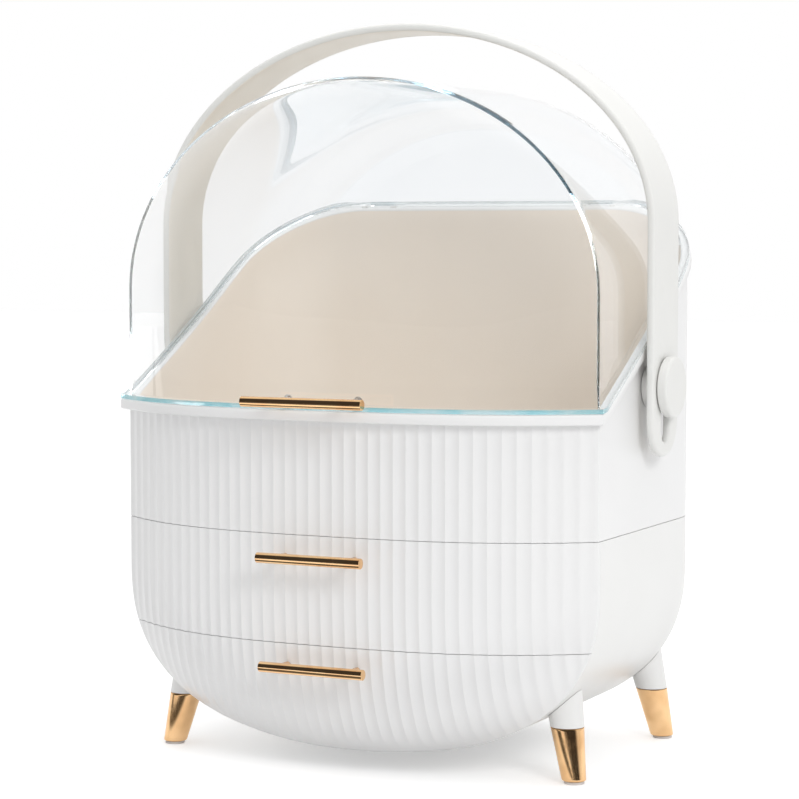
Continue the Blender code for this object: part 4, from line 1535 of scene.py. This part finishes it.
@dataclass
class CarryHandle(Part):
    """The arched band, its sliding blocks, the studs they turn on and the button caps."""

    half_span: float = 161 * MM
    thickness: float = 4.5 * MM
    breadth: float = 42 * MM
    top: float = 430 * MM
    arch_base: float = 313 * MM
    foot: float = 180 * MM
    pivot_y: float = 10.9 * MM
    pivot_z: float = 220 * MM
    slot_half: float = 6.5 * MM
    slot_low: float = 188.5 * MM
    slot_high: float = 226.8 * MM
    edge: float = 1.7 * MM
    gap: float = 0.3 * MM
    body_half: float = 150 * MM
    disc_radius: float = 12 * MM
    neck_radius: float = 3.5 * MM
    cap_radius: float = 17.5 * MM
    cap_thickness: float = 6 * MM
    arch_steps: int = 120
    end_steps: int = 28
    slot_steps: int = 16
    stud_sides: int = 48
    cap_sides: int = 80
    stud_edge: float = 0.5 * MM
    block_edge: float = 0.3 * MM
    cap_chamfer: float = 0.8 * MM
    cap_foot_edge: float = 0.4 * MM
    cap_edge: float = 2 * MM
    cut_slack: float = 0.0001 * MM

    def path(self) -> list[Point]:
        """The band's outer line as (length so far, x, z), from the right foot to the left one.

        Returns:
            The line's points.
        """
        rise = self.top - self.arch_base
        points = [(self.half_span, self.foot)]
        for i in range(self.arch_steps + 1):
            angle = math.pi * i / self.arch_steps
            points.append((self.half_span * math.cos(angle), self.arch_base + rise * math.sin(angle)))
        points.append((-self.half_span, self.foot))
        made, run = [(0.0, *points[0])], 0.0
        for before, here in zip(points, points[1:]):
            run += math.dist(before, here)
            made.append((run, *here))
        return made

    def band(self) -> None:
        """Cut the flat blank with its slots, then bend it to the arch."""
        path = self.path()
        length = path[-1][0]
        low, high = self.slot_low - self.foot, self.slot_high - self.foot
        outlines = [stadium(0.0, 0.0, length, self.breadth / 2, self.end_steps)]
        outlines += [stadium(0.0, low, high, self.slot_half, self.slot_steps)]
        outlines += [stadium(0.0, length - high, length - low, self.slot_half, self.slot_steps)]
        bm = cut_plate(outlines, self.thickness, self.edge)
        # The band's inner face gets the warm inside finish, which is painted bounce light
        for face in bm.faces:
            if face.normal.z > 0.9:
                face.material_index = 1
        for run, _x, _z in path[1:-1]:
            geometry = [*bm.verts, *bm.edges, *bm.faces]
            bmesh.ops.bisect_plane(bm, geom=geometry, dist=self.cut_slack, plane_co=(0, run, 0), plane_no=(0, 1, 0))
        tangents = []
        for i, step in enumerate(path):
            before, after = path[max(0, i - 1)], path[min(len(path) - 1, i + 1)]
            tangents.append(Vector((after[1] - before[1], after[2] - before[2])).normalized())
        tangents[0] = tangents[1] = Vector((0, 1))
        tangents[-1] = tangents[-2] = Vector((0, -1))
        for vert in bm.verts:
            across, run, depth = vert.co
            index = max(i for i in range(len(path) - 1) if path[i][0] <= run + self.cut_slack)
            start, end = path[index], path[index + 1]
            share = min(1.0, max(0.0, (run - start[0]) / (end[0] - start[0])))
            along = tangents[index].lerp(tangents[index + 1], share).normalized()
            x = start[1] + (end[1] - start[1]) * share
            z = start[2] + (end[2] - start[2]) * share
            vert.co = (x - along.y * depth, self.pivot_y + across, z + along.x * depth)
        self.maker.piece(
            "handle_band", bm, (self.palette.band, self.palette.inner), Body.HANDLE, Slot.WHITE, ("carry_handle",),
            sharp=40,
        )

    def build(self) -> None:
        """Make the band and both pivots."""
        self.band()
        inner = self.half_span - self.thickness
        for side in Side:
            self.stud(side, inner)
            self.block(side, inner)
            self.cap(side)

    def outwards(self, bm: Mesh, side: Side, start: float) -> Mesh:
        """Lay a piece turned about Z along X, pointing away from the body.

        Args:
            bm: The piece.
            side: Which side of the body.
            start: Where its foot lies, from the middle.

        Returns:
            The piece in place.
        """
        turn = Matrix.Rotation(math.pi / 2 * side.value, 4, "Y")
        place = Matrix.Translation((side.value * start, self.pivot_y, self.pivot_z))
        bmesh.ops.transform(bm, matrix=place @ turn, verts=bm.verts)
        return bm

    def stud(self, side: Side, inner: float) -> None:
        """Make the stud on the body's side: a disc and a neck.

        Args:
            side: Which side.
            inner: The band's inner face, from the middle.
        """
        wall = self.body_half + self.gap
        disc = inner - self.gap - wall
        tip = self.half_span - wall
        soft = self.stud_edge
        profile = [(0, 0), (self.disc_radius, 0, soft), (self.disc_radius, disc, soft)]
        profile += [(self.neck_radius, disc, soft), (self.neck_radius, tip, soft), (0, tip)]
        bm = self.outwards(turned(fillet(profile), self.stud_sides), side, wall)
        self.maker.piece(
            f"pivot_stud_{side.tag}", bm, (self.palette.white,), Body.CASE, Slot.WHITE, (f"side_stud_{side.tag}",)
        )

    def block(self, side: Side, inner: float) -> None:
        """Make the block that slides in the band's slot.

        Args:
            side: Which side.
            inner: The band's inner face, from the middle.
        """
        half = self.slot_half - self.gap
        tall = self.slot_high - self.pivot_z - self.gap
        outline = stadium(self.pivot_y, self.pivot_z - tall, self.pivot_z + tall, half, self.slot_steps)
        bore = arc(self.pivot_y, self.pivot_z, self.neck_radius + self.gap, 0.0, math.tau, self.end_steps)[:-1]
        start = inner + self.gap if side is Side.RIGHT else -self.half_span - self.gap
        bm = along_x(cut_plate((outline, bore), self.thickness, self.block_edge), start)
        self.maker.piece(
            f"guide_block_{side.tag}", bm, (self.palette.cream,), Body.BLOCKS, Slot.CREAM, (f"slide_block_{side.tag}",)
        )

    def cap(self, side: Side) -> None:
        """Make the button cap, with a rounded edge.

        Args:
            side: Which side.
        """
        radius, tall = self.cap_radius, self.cap_thickness
        foot, soft = self.cap_chamfer, self.cap_foot_edge
        profile = [(0, 0), (radius - foot, 0, soft), (radius, foot, soft)]
        profile += [(radius, tall, self.cap_edge), (radius * 0.5, tall), (0, tall)]
        bm = self.outwards(turned(fillet(profile, 8), self.cap_sides), side, self.half_span + self.gap * 2)
        self.maker.piece(
            f"button_cap_{side.tag}", bm, (self.palette.band,), Body.CASE, Slot.WHITE, (f"pivot_cap_{side.tag}",)
        )


@dataclass
class Leg(Part):
    """A splayed leg: white socket fitted to the belly, gold foot and rubber pad."""

    tag: str
    sign_x: int
    sign_y: int
    spacing_x: float = 124 * MM
    front_y: float = -45.1 * MM
    rear_y: float = 90.9 * MM
    lean_x: float = 6 * MM
    lean_y: float = 4 * MM
    pad: float = 1.5 * MM
    pad_radius: float = 5.8 * MM
    gap: float = 0.3 * MM
    joint: float = 31 * MM
    joint_radius: float = 9.6 * MM
    foot_radius: float = 7 * MM
    socket_top: float = 66 * MM
    socket_radius: float = 12 * MM
    sides: int = 64
    socket_rows: int = 16
    settling: int = 12
    foot_edge: float = 0.8 * MM
    joint_edge: float = 0.5 * MM
    pad_edge: float = 0.3 * MM
    cone_shares: Sequence[float] = (0.05, 0.5, 0.96)

    def lean(self, x: float, y: float, z: float) -> Point:
        """Set a point of an upright piece on the leg's slanted line.

        Args:
            x: Its place across.
            y: Its depth.
            z: Its height.

        Returns:
            The slanted point.
        """
        share = (self.joint - z) / self.joint
        foot_y = self.front_y if self.sign_y < 0 else self.rear_y
        return (
            x + self.sign_x * (self.spacing_x + self.lean_x * share),
            y + foot_y + self.sign_y * self.lean_y * share,
            z,
        )

    def turned_piece(self, name: str, node: str, profile: list, material: bpy.types.Material, slot: Slot) -> None:
        """Spin a profile, lean it and make the piece.

        Args:
            name: The piece's first name.
            node: The first name of the node it stands for.
            profile: (radius, height, rounding) points.
            material: Its finish.
            slot: Its material slot.
        """
        bm = turned(fillet(profile), self.sides)
        for vert in bm.verts:
            vert.co = self.lean(*vert.co)
        self.maker.piece(f"{name}_{self.tag}", bm, (material,), Body.CASE, slot, (f"{node}_{self.tag}",))

    def socket(self) -> None:
        """Make the socket, its upper edge following the belly."""
        foot = self.joint + self.gap
        rise = self.socket_top - foot

        def place(column: int, row: int) -> Point:
            """A point of the wall: row 0 is the centre of the foot and row 1 its rim.

            Args:
                column: The step round.
                row: The step up.

            Returns:
                The point.
            """
            angle = math.tau * column / self.sides
            reach = 0.0
            for _ in range(self.settling):
                z = foot + rise * reach
                radius = self.joint_radius + (self.socket_radius - self.joint_radius) * reach
                x, y, _z = self.lean(radius * math.cos(angle), radius * math.sin(angle), z)
                reach = min(1.0, max(0.0, (EGG.belly_z(x, y) - self.gap - foot) / rise))
            share = reach * max(0, row - 1) / self.socket_rows
            radius = self.joint_radius + (self.socket_radius - self.joint_radius) * share
            radius = 0.0 if row == 0 or row == self.socket_rows + 2 else radius
            if row == self.socket_rows + 2:
                share = reach
            z = foot + rise * share
            return self.lean(radius * math.cos(angle), radius * math.sin(angle), z)

        bm = mapped_grid(self.sides, self.socket_rows + 1, place)
        bmesh.ops.holes_fill(bm, edges=[edge for edge in bm.edges if edge.is_boundary], sides=0)
        self.maker.piece(
            f"socket_{self.tag}", bm, (self.palette.white,), Body.CASE, Slot.WHITE, (f"leg_socket_{self.tag}",)
        )

    def build(self) -> None:
        """Make the three pieces and dress the hidden stud."""
        base = self.pad + self.gap
        self.socket()
        rise, flare = self.joint - base, self.joint_radius - self.foot_radius
        cone = [(self.foot_radius + flare * share, base + rise * share) for share in self.cone_shares]
        profile = [(0, base), (self.foot_radius, base, self.foot_edge), *cone]
        profile += [(self.joint_radius, self.joint, self.joint_edge), (0, self.joint)]
        # The foot takes the darker gold, which is painted shade
        self.turned_piece("foot", "leg_foot", profile, self.palette.foot_gold, Slot.GOLD)
        radius, edge = self.pad_radius, self.pad_edge
        profile = [(0, 0), (radius, 0, edge), (radius, self.pad, edge), (0, self.pad)]
        self.turned_piece("pad", "foot_pad", profile, self.palette.rubber, Slot.RUBBER)
        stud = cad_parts[f"leg_stud_{self.tag}"]
        for place in stud.material_slots:
            place.material = self.palette.steel


@dataclass
class Studio:
    """The pale floor, the soft light and the camera."""

    lens: float = 113.36
    sensor: float = 36.0
    clip: Span = (0.01, 100.0)
    place: Point = (0.65009, -1.34385, 0.30718)
    turn: float = 25.909
    tilt: float = 86.228
    middle: Point = (0.0, 0.0, 0.2)
    floor_size: float = 14.0
    floor_glow: float = 0.42
    floor_dark: float = 0.9
    dark_near: Span = (-0.11, -0.15)
    dark_gone: Span = (-0.28, -0.23)
    dark_far: Span = (-0.50, -0.62)
    world_light: float = 0.745
    gloss_dark: float = 0.05
    horizon: Span = (-0.10, -0.06)
    ahead: Span = (0.05, -0.35)
    first_bounce: float = 1.5
    floor_tone: Span = (0.80, 0.82)
    floor_rough: float = 0.6
    floor_specular: float = 0.2

    def mirrored(self, sheet: NodeSheet, deepest: float) -> Socket:
        """Tell the rays of gloss that come straight from what is seen.

        Args:
            sheet: The node sheet.
            deepest: The ray depth below which a ray counts.

        Returns:
            1 for such rays and 0 for others.
        """
        path = sheet.add("LightPath", {})
        first = sheet.compute("LESS_THAN", path["Ray Depth"], deepest)
        only = sheet.compute("SUBTRACT", path["Is Glossy Ray"], path["Is Transmission Ray"], use_clamp=True)
        return sheet.compute("MULTIPLY", only, first)

    def seen(self, sheet: NodeSheet) -> Socket:
        """1 for rays of the camera, of gloss and through clear pieces, and 0 for others.

        Args:
            sheet: The node sheet.

        Returns:
            The value.
        """
        path = sheet.add("LightPath", {})
        first = sheet.compute("MAXIMUM", path["Is Camera Ray"], path["Is Glossy Ray"])
        return sheet.compute("MAXIMUM", first, path["Is Transmission Ray"])

    def white_floor(self) -> bpy.types.Material:
        """A floor that is seen as white and keeps its shadow, with dark stretches in front for gloss.

        Returns:
            The material.
        """
        material, sheet, shader, position = begin_material("studio_floor")
        tone = sheet.spread(sheet.noise(position, scale=4.0, detail=2.0), 0.3, 0.7, *self.floor_tone)
        inputs = {"Base Color": tone, "Roughness": self.floor_rough, "Specular IOR Level": self.floor_specular}
        sheet.feed(shader, inputs)
        glow = sheet.add("Emission", {"Strength": sheet.compute("MULTIPLY", self.seen(sheet), self.floor_glow)})
        lit = sheet.add("AddShader", {0: shader.outputs["BSDF"], 1: glow["Emission"]})["Shader"]
        depth = sheet.part(position, "Y")
        near, gone, far = (sheet.spread(depth, *ends) for ends in (self.dark_near, self.dark_gone, self.dark_far))
        ahead = sheet.compute("MAXIMUM", sheet.compute("MULTIPLY", near, gone), far)
        deep = sheet.compute("MULTIPLY", ahead, self.floor_dark)
        dark = sheet.compute("MULTIPLY", deep, self.mirrored(sheet, self.first_bounce))
        black = sheet.add("Emission", {"Strength": 0.0})["Emission"]
        sheet.feed(sheet.tree.nodes["Material Output"], {"Surface": sheet.layer(dark, lit, black)})
        return material

    def world(self) -> None:
        """An even pale world, white where it is seen, with a dark front above the horizon for gloss.

        Blender counts a ray that reaches the world one bounce deeper than one that meets a piece.
        """
        world = bpy.data.worlds.new("studio_air")
        bpy.context.scene.world = world
        world.use_nodes = True
        sheet = NodeSheet(world.node_tree)
        way = sheet.add("TexCoord", {})["Generated"]
        above = sheet.spread(sheet.part(way, "Z"), *self.horizon)
        ahead = sheet.spread(sheet.part(way, "Y"), *self.ahead)
        band = sheet.compute("MULTIPLY", above, ahead)
        gloss = sheet.compute("MULTIPLY", band, self.mirrored(sheet, self.first_bounce + 1))
        light = sheet.remap(self.seen(sheet), self.world_light, 1.0)
        total = sheet.compute("MULTIPLY", light, sheet.remap(gloss, 1.0, self.gloss_dark))
        sheet.feed(sheet.tree.nodes["Background"], {"Color": rgba((1.0, 1.0, 1.0)), "Strength": total})

    def lamp(self, name: str, place: Point, size: float, power: float) -> None:
        """Add a square soft lamp that points at the organizer's middle.

        Args:
            name: Its name.
            place: Where it hangs.
            size: Its side.
            power: Its power in watts.
        """
        data = bpy.data.lights.new(name, "AREA")
        data.shape = "SQUARE"
        data.size = size
        data.energy = power
        obj = bpy.data.objects.new(name, data)
        obj.location = place
        obj.rotation_euler = (Vector(self.middle) - Vector(place)).to_track_quat("-Z", "Y").to_euler()
        obj.visible_glossy = obj.visible_transmission = False
        bpy.context.scene.collection.objects.link(obj)

    def build(self) -> None:
        """Make the floor, world, lamps and camera."""
        bm = bmesh.new()
        bmesh.ops.create_grid(bm, x_segments=1, y_segments=1, size=self.floor_size / 2)
        mesh = bpy.data.meshes.new("floor")
        bm.to_mesh(mesh)
        bm.free()
        mesh.materials.append(self.white_floor())
        floor = bpy.data.objects.new("floor", mesh)
        bpy.context.scene.collection.objects.link(floor)
        self.world()
        self.lamp("top_light", place=(0.0, 0.0, 1.8), size=1.2, power=10.0)
        self.lamp("key_light", place=(1.66, -1.25, 1.30), size=0.7, power=15.0)
        data = bpy.data.cameras.new("camera")
        data.lens, data.sensor_width = self.lens, self.sensor
        data.clip_start, data.clip_end = self.clip
        camera = bpy.data.objects.new("camera", data)
        camera.location = self.place
        camera.rotation_euler = (math.radians(self.tilt), 0.0, math.radians(self.turn))
        bpy.context.scene.collection.objects.link(camera)
        bpy.context.scene.camera = camera
        bpy.context.scene.view_settings.view_transform = "Standard"


def main() -> None:
    """Build the organizer piece by piece, then the studio."""
    logging.basicConfig(level=logging.INFO, format="%(message)s")
    palette = Palette().build()
    maker = Maker()
    Compartment(palette, maker).build()
    HingeLine(palette, maker).build()
    Lid(palette, maker).build()
    Pull(
        palette, maker, "lid", Body.LID, z=214.3 * MM, length=75 * MM, standoff=22 * MM, depth=2.5 * MM
    ).build()
    Housing(palette, maker).build()
    lower_seam, upper_seam, gap, pull_drop = 76.5 * MM, 138.5 * MM, 0.3 * MM, 12 * MM
    Drawer(
        palette, maker, "upper_drawer", Body.UPPER,
        low=lower_seam + gap, high=upper_seam - gap, tray_low=78.3 * MM, belly=False,
    ).build(pull_drop, upper_seam)
    Drawer(
        palette, maker, "lower_drawer", Body.LOWER,
        low=EGG.bottom, high=lower_seam - gap, tray_low=EGG.bottom, belly=True,
    ).build(pull_drop, lower_seam)
    CarryHandle(palette, maker).build()
    for row, sign_y in (("front", -1), ("rear", 1)):
        for side in Side:
            Leg(palette, maker, f"{row}_{side.tag}", side.value, sign_y).build()
    Studio().build()
    log.info("%d pieces", maker.count)


if __name__ == "__main__":
    main()
